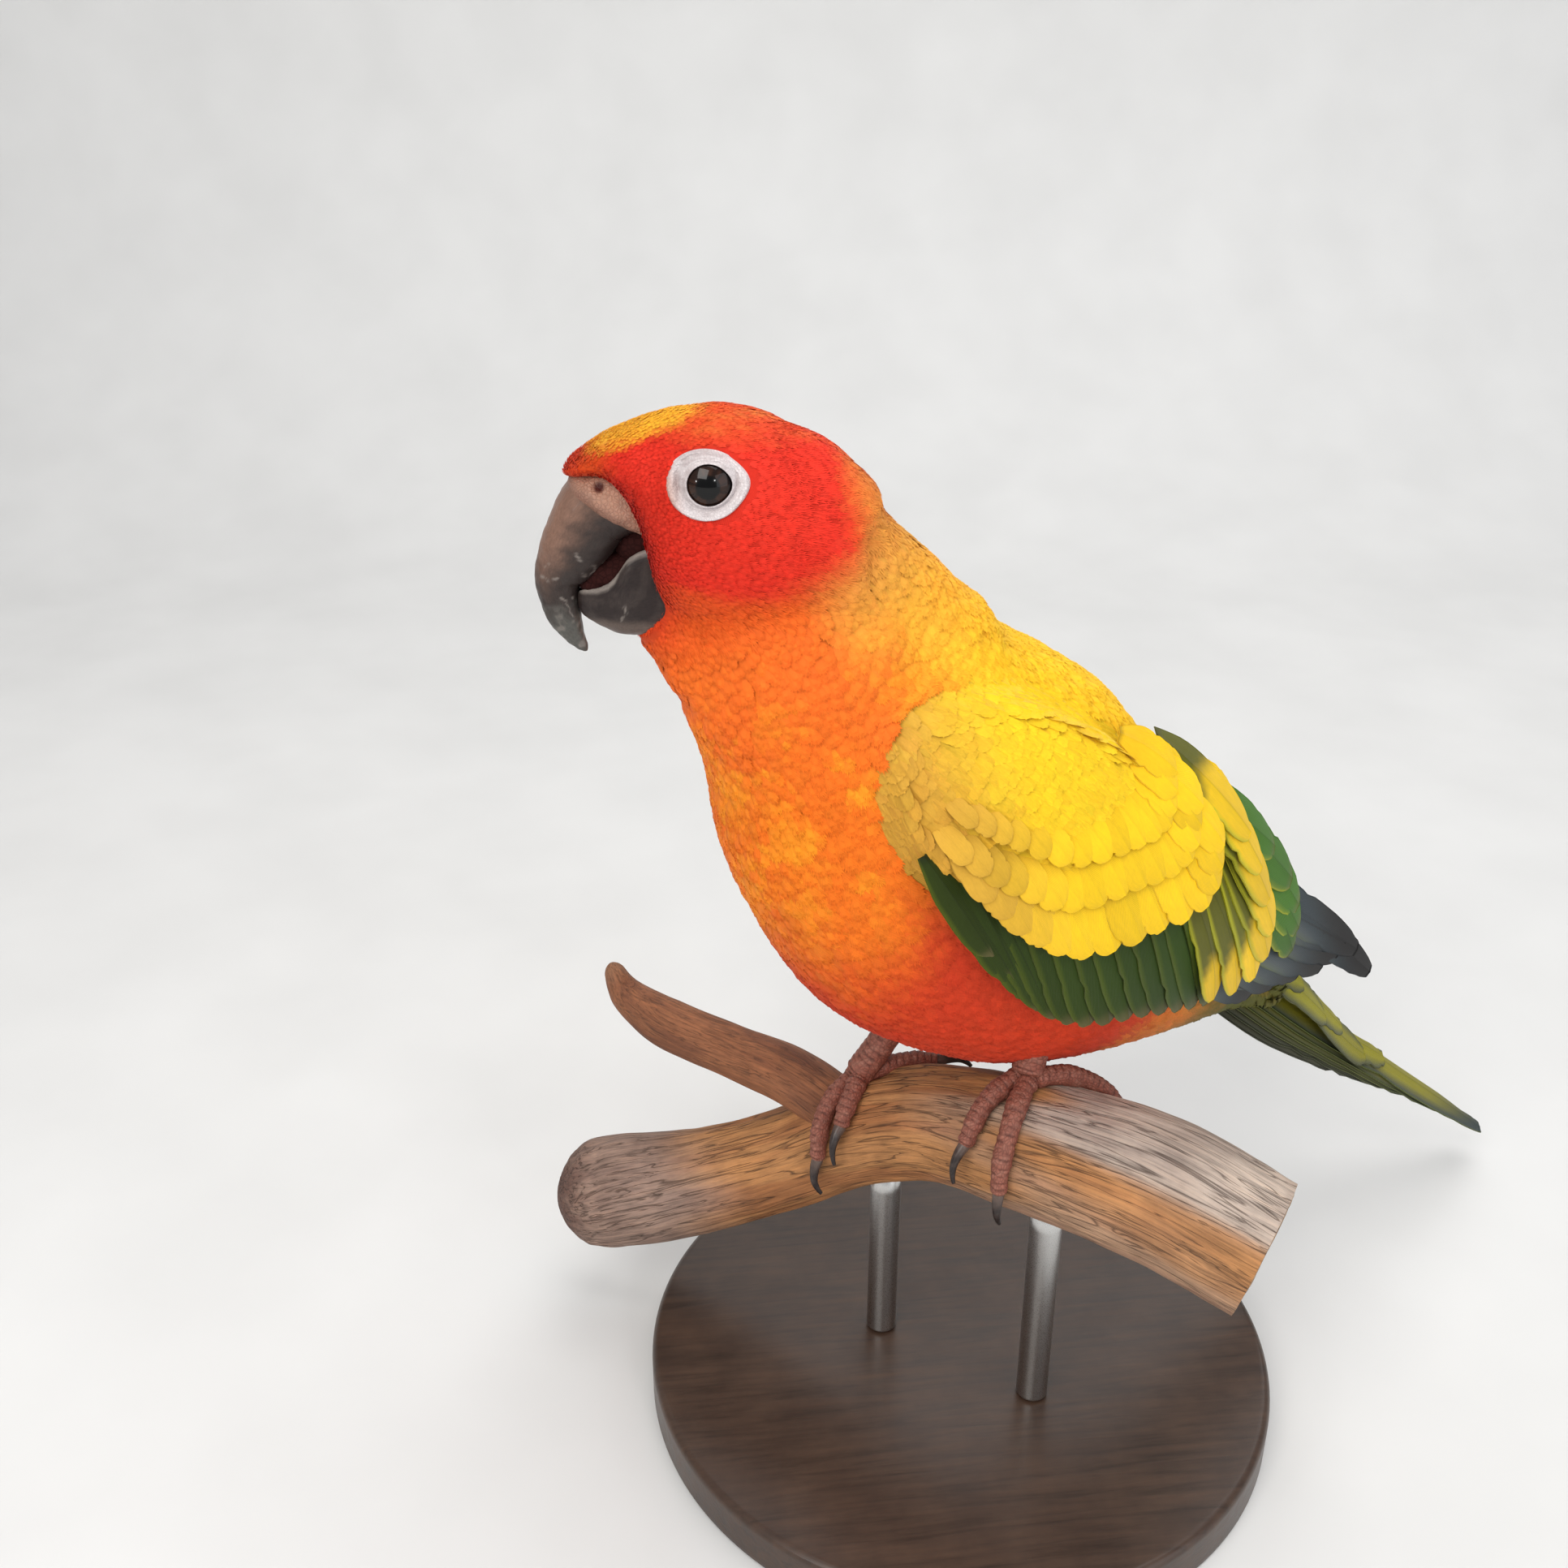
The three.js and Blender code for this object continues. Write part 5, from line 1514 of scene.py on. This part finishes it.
def limbTint(points, place, t):
    w = woodShades
    patch = mottle(place * np.array([1, 0.3, 1]), 12, 26)
    fine = mottle(place * np.array([1, 0.1, 1]), 3, 27)
    tint = mix(w["light"], w["lightGrain"], smooth(-0.2, 0.7, fine + 0.4 * patch) * 0.6)
    # weathered grey towards the cut end, more of it on the top: partly real weathering, partly painted
    # highlight where the top catches the light
    top = smooth(0.3, 0.9, (points[..., 2] - points[..., 2].mean(1, keepdims=True)) / 10)
    tint = mix(tint, w["grey"], smooth(-0.1, 0.6, patch + 0.9 * (0.42 - t) * 2) * (0.35 + 0.55 * top)
               * (1 - smooth(0.2, 0.45, t)))
    tint = mix(tint, w["stub"], smooth(0.66, 0.8, t + 0.04 * patch) * 0.85)
    return mix(tint, w["knob"], smooth(0.9, 0.985, t + 0.02 * fine))


def twigTint(points, place, t):
    w = woodShades
    fine = mottle(place * np.array([1, 0.12, 1]), 2.4, 28)
    tint = mix(w["twig"], w["twigGrain"], smooth(-0.1, 0.8, fine) * 0.7)
    return mix(tint, w["twigTip"], smooth(0.86, 0.98, t) * 0.6)


def addStubCut(shape, rows, tint):
    # ringed end grain over the limb's sawn end
    first, second = atShare(rows[:, :3], 0.0), atShare(rows[:, :3], 0.01)
    way = unit(first - second)
    up = unit(np.cross(limbSide, -way))
    across = np.cross(-way, up)
    turn = np.linspace(0, 2 * math.pi, 96, endpoint=False)
    share = np.linspace(0.02, 0.97, 26)[:, None]
    wide, deep = rows[0, 3], rows[0, 4]
    spot = np.stack([np.cos(turn) * share * 9, np.sin(turn) * share * 9, 0 * share + 0 * turn], -1)
    rough = mottle(spot, 3, 33)
    ringWave = 0.16 * np.sin(share * 44 + 1.2 * rough) + 0.25 * rough
    points = (first + way * (0.15 + 0.35 * ringWave - 0.5 * smooth(0.86, 0.97, share))[..., None]
              + across * (share * wide * np.sin(turn))[..., None]
              + up * (share * deep * np.cos(turn))[..., None])
    shade = 0.62 + 0.38 * smooth(-0.12, 0.16, ringWave)
    place = np.stack([share * 9 * np.cos(turn), 0 * share * turn, share * 9 * np.sin(turn)], -1)
    shape.add(points, [gridFaces(26, 96, closed=True)], (np.array(tint) * shade[..., None]).reshape(-1, 3),
              place, gridPlaces(26, 96))


# Feet: a toe starts a shift inward along the limb, turns round it by an angle from the top to the
# front and drifts inward on the way. Reach scales the turns and sweep leans them along the limb.
footPlaces = [
    {"name": "left", "share": 0.258, "side": 1, "reach": 0.95, "sweep": 1},
    {"name": "right", "share": 0.475, "side": -1, "reach": 0.8, "sweep": 7},
]
toeRadius = 2.0
tarsus = {"radius": 2.6, "rise": 18, "back": 9, "inward": 5}
toes = [
    {"name": "front_outer", "shift": -2.2, "turn": 104, "drift": 0.2},
    {"name": "front_inner", "shift": 3.0, "turn": 72, "drift": 2.0},
    {"name": "back_outer", "shift": -2.8, "turn": -92, "drift": -10.0},
    {"name": "back_inner", "shift": 2.6, "turn": -62, "drift": 2.4},
]
claw = {"radius": 1.15, "length": 8.0, "sink": 1.0}
footShades = {
    "hide": (0.25, 0.075, 0.048), "pale": (0.38, 0.17, 0.12), "line": (0.085, 0.026, 0.018),
    "claw": (0.05, 0.035, 0.03), "clawDark": (0.020, 0.014, 0.013), "clawRoot": (0.16, 0.11, 0.09),
}


def wayAlong(rows, share):
    return unit(atShare(rows, min(share + 0.002, 1)) - atShare(rows, max(share - 0.002, 0)))


def roundLimb(share, shift, angle, height):
    along = wayAlong(limbRows[:, :3], share)
    half = atShare(np.column_stack([limbRows[:, 3:5], 0 * limbRows[:, 0]]), share)
    top = unit(np.array([0, 0, 1.0]) - along * along[2])
    front = unit(limbSide - along * (limbSide @ along))
    return (atShare(limbRows[:, :3], share) + along * shift + top * math.cos(angle) * (half[1] + height)
            + front * math.sin(angle) * (half[0] + height))


def toeSections(toe, where):
    rows = []
    for step in range(8):
        t = step / 7
        radius = toeRadius * (1 - 0.22 * t) * (1 + 0.1 * math.cos(t * 6 * math.pi))
        along = (where["side"] * (toe["shift"] * min(1, 0.4 + 1.2 * t) + toe["drift"] * t)
                 + math.copysign(where["sweep"], toe["turn"]) * t)
        angle = math.radians(toe["turn"] * where["reach"] * t)
        rows.append([*roundLimb(where["share"], along, angle, toeRadius * 0.85), radius, radius])
    return rows


def scutedTube(shape, rows, sides, rings, side, ends, pitch, outFrom, cell):
    # a toe or leg with a row of plates along its outer side and small cells under it
    points, _, around = loftGrid(rows, sides, rings, side=side, ends=ends)
    outward = outwards(points)
    upper = np.sum(outward * unit(points.mean(1, keepdims=True) - np.asarray(outFrom)), -1)
    phase = (runOf(points) / pitch)[:, None] + 0.08 * np.sin(around * 3)
    saw = phase - np.floor(phase)
    plate = np.sqrt(np.clip(saw * 1.15, 0, 1)) * (1 - smooth(0.86, 1.0, saw))
    cells = mottle(points, 0.9, 35)
    rise = 0.26 * (plate - 0.6) * smooth(-0.1, 0.4, upper) + 0.1 * cells * (1 - smooth(0, 0.4, upper))
    groove = 1 - smooth(0.0, 0.55, plate)
    f = footShades
    pale = smooth(0.2, 0.9, cells) * 0.4 + 0.3 * smooth(0.2, 0.6, plate) * smooth(0.3, 0.8, upper)
    tint = mix(f["hide"], f["pale"], pale)
    tint = mix(tint, f["line"], groove * smooth(-0.2, 0.3, upper) * 0.8)
    place = roundPlaces(points, around, np.full(len(points), toeRadius))
    addTube(shape, points + outward * rise[..., None], tint, place, cell)


def footAndClaws(where):
    share, side = where["share"], where["side"]
    grip = wayAlong(limbRows[:, :3], share)
    middle = atShare(limbRows[:, :3], share)
    pad = roundLimb(share, 0, 0, toeRadius)
    top = pad + np.array([-side * tarsus["inward"], tarsus["back"], tarsus["rise"]])
    foot, claws = Shape(), Shape()
    f = footShades
    leg = [[*(pad + (top - pad) * t), tarsus["radius"] * (1.15 - 0.2 * t), tarsus["radius"] * (1.1 - 0.1 * t)]
           for t in (0, 0.35, 0.7, 1)]
    scutedTube(foot, leg, 36, 60, (1, 0, 0), (0.06, 0.06), 1.5, middle + np.array([0, 40, 0]),
               (0, 0.8, 1, 0.2))
    for i, toe in enumerate(toes):
        rows = toeSections(toe, where)
        scutedTube(foot, rows, 36, 90, grip, (0.08, 0.08), 1.35, middle, (0, 0.2 * i, 1, 0.2))
        before, last = np.array(rows[-2][:3]), np.array(rows[-1][:3])
        way = unit(last - before)
        inward = unit(middle - last)
        run = [[*(last + way * (claw["length"] * t - claw["sink"])
                  + inward * (0.8 * t * t + 0.2 - 1.4 * math.sin(math.pi * t * 0.9))),
                claw["radius"] * (1 - 0.72 * t), 1.15 * claw["radius"] * (1 - 0.7 * t)]
               for t in (0, 0.3, 0.6, 0.85, 1)]
        points, t, around = loftGrid(run, 28, 36, side=grip, ends=(0.1, 0))
        streak = mottle(points, 0.8, 37)
        tint = mix(f["claw"], f["clawDark"], smooth(0.1, 0.6, t[:, None] + 0.2 * streak))
        tint = mix(tint, f["clawRoot"], (1 - smooth(0.1, 0.3, t))[:, None] * np.ones(28) * 0.6)
        addTube(claws, points, tint, roundPlaces(points, around), atlasCell(i, 2, 2))
    return foot, claws


# Display stand: a turned wooden base and two steel rods
stand = {"radius": 62, "height": 9, "bevel": 1.5, "rodRadius": 3, "rods": [(20, 4.5), (-9, -12.5)],
         "baseTint": (0.060, 0.034, 0.022), "rodTint": (0.62, 0.62, 0.61)}


def turnedShape(profile, sides, tint, at=(0, 0)):
    shape = Shape()
    turn = np.linspace(0, 2 * math.pi, sides, endpoint=False)
    r, z = np.array(profile, float).T
    points = np.stack([np.outer(r, np.cos(turn)) + at[0], np.outer(r, np.sin(turn)) + at[1],
                       np.outer(z, np.ones(sides))], -1)
    addTube(shape, points - headCentre, tint, points)
    return shape


def baseShape():
    r, h, b = stand["radius"], stand["height"], stand["bevel"]
    curve = [(r - b + b * math.sin(a), h - b + b * math.cos(a)) for a in np.linspace(math.pi / 2, 0, 9)]
    side = [(r - 0.5, 0.0), (r, 0.5)] + [(r, z) for z in np.linspace(1.2, h - b - 0.3, 4)]
    top = [(x, h) for x in np.linspace(r - b - 0.5, 0.5, 14)]
    return turnedShape([(0.5, 0.0), (r - 2, 0.0)] + side + curve + top, 160, stand["baseTint"])


def rodShape(i):
    low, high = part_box(f"stand_rod_{i + 1}")
    low, high = low.z / mm, high.z / mm
    r = stand["rodRadius"]
    profile = [(0.2, low), (r - 0.3, low), (r, low + 0.3)]
    profile += [(r, z) for z in np.linspace(low + 0.6, high - 0.4, 12)]
    profile += [(r - 0.3, high - 0.1), (0.2, high)]
    return turnedShape(profile, 48, stand["rodTint"], stand["rods"][i])


def woodMaterial(name, fibre, stretch, checks, depth, roughness, bump, askew=0.0, coatWeight=0.0):
    material, tree, shader = newMaterial(
        name, {"Coat Weight": coatWeight, "Coat Roughness": 0.25, "Specular IOR Level": 0.35})
    spot = readMap(tree, "vane")
    if askew:
        spot = put(tree, "Mapping", {"Vector": spot, "Rotation": (0, 0, askew)}).outputs[0]
    grain = placeGroup(tree, grainGroup, {"Place": spot, "Fibre": fibre, "Stretch": stretch,
                                          "Checks": checks})
    fibres = ramp(tree, grain.outputs["Fibres"],
                  [(0.28, (1 - depth,) * 3), (0.5, (0.92,) * 3), (0.72, (1.22, 1.18, 1.12))])
    stain = ramp(tree, grain.outputs["Stain"], [(0.35, (0.80, 0.76, 0.74)), (0.62, (1.08, 1.06, 1.03))])
    colour = blendColour(tree, 1.0, readMap(tree, "tint"), fibres, "MULTIPLY")
    colour = blendColour(tree, 1.0, colour, stain, "MULTIPLY")
    colour = blendColour(tree, sums(tree, "MULTIPLY", grain.outputs["Cracks"], 0.85), colour,
                         (0.045, 0.022, 0.014, 1))
    tree.links.new(colour, shader.inputs["Base Color"])
    rough = sums(tree, "MULTIPLY_ADD", grain.outputs["Fibres"], 0.25, roughness - 0.12)
    tree.links.new(rough, shader.inputs["Roughness"])
    bumpFrom(tree, shader, grain.outputs["Height"], bump, "wood")
    return material


def hornMaterial(name, roughness, cracks, coatWeight):
    material, tree, shader = newMaterial(
        name, {"Coat Weight": coatWeight, "Coat Roughness": 0.2, "Specular IOR Level": 0.22})
    grain = placeGroup(tree, grainGroup, {"Place": readMap(tree, "vane"), "Fibre": 2.2, "Stretch": 0.45,
                                          "Checks": cracks})
    layers = ramp(tree, grain.outputs["Fibres"], [(0.3, (0.78,) * 3), (0.7, (1.18, 1.16, 1.14))])
    colour = blendColour(tree, 1.0, readMap(tree, "tint"), layers, "MULTIPLY")
    colour = blendColour(tree, sums(tree, "MULTIPLY", grain.outputs["Cracks"], 0.5), colour,
                         (0.34, 0.28, 0.25, 1))
    tree.links.new(colour, shader.inputs["Base Color"])
    rough = sums(tree, "MULTIPLY_ADD", grain.outputs["Fibres"], 0.3, roughness - 0.15)
    tree.links.new(rough, shader.inputs["Roughness"])
    bumpFrom(tree, shader, grain.outputs["Height"], 0.35, "horn")
    return material


def steelMaterial():
    material, tree, shader = newMaterial("brushedSteel", {"Metallic": 1.0})
    grain = placeGroup(tree, grainGroup, {"Place": readMap(tree, "vane"), "Fibre": 5.0, "Stretch": 1.0,
                                          "Checks": 0.0})
    tone = ramp(tree, grain.outputs["Fibres"], [(0.3, (0.82,) * 3), (0.7, (1.05,) * 3)])
    colour = blendColour(tree, 1.0, readMap(tree, "tint"), tone, "MULTIPLY")
    tree.links.new(colour, shader.inputs["Base Color"])
    rough = sums(tree, "MULTIPLY_ADD", grain.outputs["Fibres"], 0.22, 0.18)
    tree.links.new(rough, shader.inputs["Roughness"])
    bumpFrom(tree, shader, grain.outputs["Height"], 0.1, "steel")
    return material


def eyeMaterial():
    material, tree, shader = newMaterial(
        "eyeGloss", {"Roughness": 0.25, "Coat Weight": 0.5, "Coat Roughness": 0.0,
                     "Specular IOR Level": 0.05})
    hide = placeGroup(tree, hideGroup, {"Tint": readMap(tree, "tint"), "Place": readMap(tree, "vane"),
                                        "Cells": 3.0, "Lines": 0.1, "Blotch": 0.5})
    tree.links.new(hide.outputs["Color"], shader.inputs["Base Color"])
    return material


# Floor and backdrop in one pale sweep, square to the camera and a little under the base
sweep = {"near": -900, "bend": 500, "radius": 300, "height": 1500, "half": 1600, "under": 0.05,
         "tint": (0.72, 0.72, 0.72)}


def addStage():
    bend, r = sweep["bend"], sweep["radius"]
    profile = [(sweep["near"], 0), (bend, 0)]
    profile += [(bend + r * math.sin(a), r - r * math.cos(a)) for a in np.linspace(0.1, math.pi / 2, 14)]
    profile += [(bend + r, sweep["height"])]
    rows, columns = len(profile), 9
    shape = Shape()
    across = np.linspace(-sweep["half"], sweep["half"], columns)
    points = np.array([[[x, y, z - sweep["under"]] for x in across] for y, z in profile])
    points = turned(points, math.radians(cameraSetup["heading"])) - headCentre
    shape.add(points, [gridFaces(rows, columns)], sweep["tint"], points, gridPlaces(rows, columns))
    material, tree, shader = newMaterial("paleSweep", {"Roughness": 0.9, "Specular IOR Level": 0.2})
    speck = put(tree, "TexNoise", {"Vector": readMap(tree, "vane"), "Scale": 0.02, "Detail": 2.0})
    tree.links.new(ramp(tree, speck.outputs[0], [(0.3, (0.70, 0.70, 0.69)), (0.7, (0.74, 0.74, 0.73))]),
                   shader.inputs["Base Color"])
    mesh = shape.mesh("floor")
    mesh.materials.append(material)
    floor = bpy.data.objects.new("floor", mesh)
    bpy.context.scene.collection.objects.link(floor)


addCamera()
addLights()
addStage()
print("camera, lights and floor")

downMaterial = featherMaterial("downySkin", 30.0, 0.3, 0.8, 0.0)
headMaterial = featherMaterial("headFeathers", 6.0, 0.12, 0.62, 0.0)
bodyMaterial = featherMaterial("bodyFeathers", 10.0, 0.16, 0.62, 0.0)
wingMaterial = featherMaterial("wingFeathers", 34.0, 0.24, 0.5, 0.22)
tailMaterial = featherMaterial("tailFeathers", 90.0, 0.30, 0.5, 0.35)
lidMaterial = hideMaterial("eyeSkin", 2.4, 0.12, 0.25, 0.55, 0.35)
cereMaterial = hideMaterial("cereSkin", 1.7, 0.15, 0.4, 0.5, 0.4)
mouthMaterial = hideMaterial("mouthLining", 1.2, 0.3, 0.5, 0.9, 0.3, gloss=0.08)
footMaterial = hideMaterial("footSkin", 1.3, 0.3, 0.5, 0.6, 0.4)
billMaterial = hornMaterial("billHorn", 0.42, 0.0, 0.1)
clawMaterial = hornMaterial("clawHorn", 0.4, 0.1, 0.3)
driftwood = woodMaterial("driftwood", 1.0, 0.05, 0.8, 0.55, 0.75, 0.6)
twigWood = woodMaterial("twigWood", 1.5, 0.08, 0.6, 0.5, 0.7, 0.5)
baseWood = woodMaterial("stainedWood", 0.35, 0.08, 0.0, 0.5, 0.45, 0.15, askew=0.35, coatWeight=0.3)

skinPoints, skinQuads = makeSkin()
print("skin", len(skinPoints))
skinTree = treeOf(skinPoints, skinQuads)
skin = Shape()
# the skin takes the plumage's colours, darkened to 0.85 as painted shade under the feathers
skinTint = np.where(onPad(skinPoints)[:, None], wingSideTint(skinPoints), markings(skinPoints)) * 0.85
skinBake = onPage(np.arctan2(skinPoints[:, 0], skinPoints[:, 2] + 60) / 6.4 + 0.5,
                  (skinPoints[:, 1] + 30) / 170)
skin.add(skinPoints, [skinQuads], skinTint, skinPoints * 0.2, skinBake)
addPiece("skin", skin, downMaterial, ["head", "neck", "torso", "rump"])

bothSides = (("left", 1), ("right", -1))
billShapes = {"upper": upperBillShape(), "cere": cereShape(), "lower": lowerBillShape()}
billTree = treeOfShapes(billShapes.values())
addPiece("upper_bill", billShapes["upper"], billMaterial, ["bill_upper"])
addPiece("lower_bill", billShapes["lower"], billMaterial, ["bill_lower"])
addPiece("mouth_lining", mouthShape(), mouthMaterial)
addPiece("cere_skin", billShapes["cere"], cereMaterial, ["cere"])
for name, mirror in bothSides:
    addPiece(f"eyeball_{name}", eyeShape(mirror), eyeMaterial(), [f"eye_{name}"])
    addPiece(f"eyelid_{name}", ringShape(skinTree, mirror), lidMaterial, [f"eye_ring_{name}"])
print("bill and eyes")

coatLooks = {"head_feathers": headMaterial, "body_feathers": bodyMaterial}
for part, number, shape in growCoat(skinPoints, skinQuads, skinTree, billTree):
    addPiece(f"{part}_{number}", shape, coatLooks[part])
for name, mirror in bothSides:
    addPiece(f"flight_{name}", wingShape(mirror), wingMaterial, [f"wing_{name}"])
    addPiece(f"shoulder_{name}", growShoulders(skinPoints, skinQuads, skinTree, mirror), wingMaterial)
addPiece("tail_feathers", tailShape(), tailMaterial, ["tail"])
print("coat, wings and tail")

for where in footPlaces:
    foot, claws = footAndClaws(where)
    name = where["name"]
    addPiece(f"toes_{name}", foot, footMaterial, [f"foot_{name}"])
    addPiece(f"claws_{name}", claws, clawMaterial,
             [f"claw_{name}_{toe['name']}" for toe in toes])
limbShape = woodShape(limbSections, 112, 220, (0, 0.07), 0.55, limbTint)
addStubCut(limbShape, limbRows, woodShades["cut"])
addPiece("driftwood_limb", limbShape, driftwood, ["perch_limb"])
twigShape = woodShape(twigSections, 64, 110, (0, 0.06), 0.35, twigTint)
addPiece("driftwood_twig", twigShape, twigWood, ["perch_twig"])
addPiece("base_plate", baseShape(), baseWood, ["stand_base"])
for i in range(len(stand["rods"])):
    addPiece(f"rod_{i + 1}", rodShape(i), steelMaterial(), [f"stand_rod_{i + 1}"])
print("feet, perch and stand")
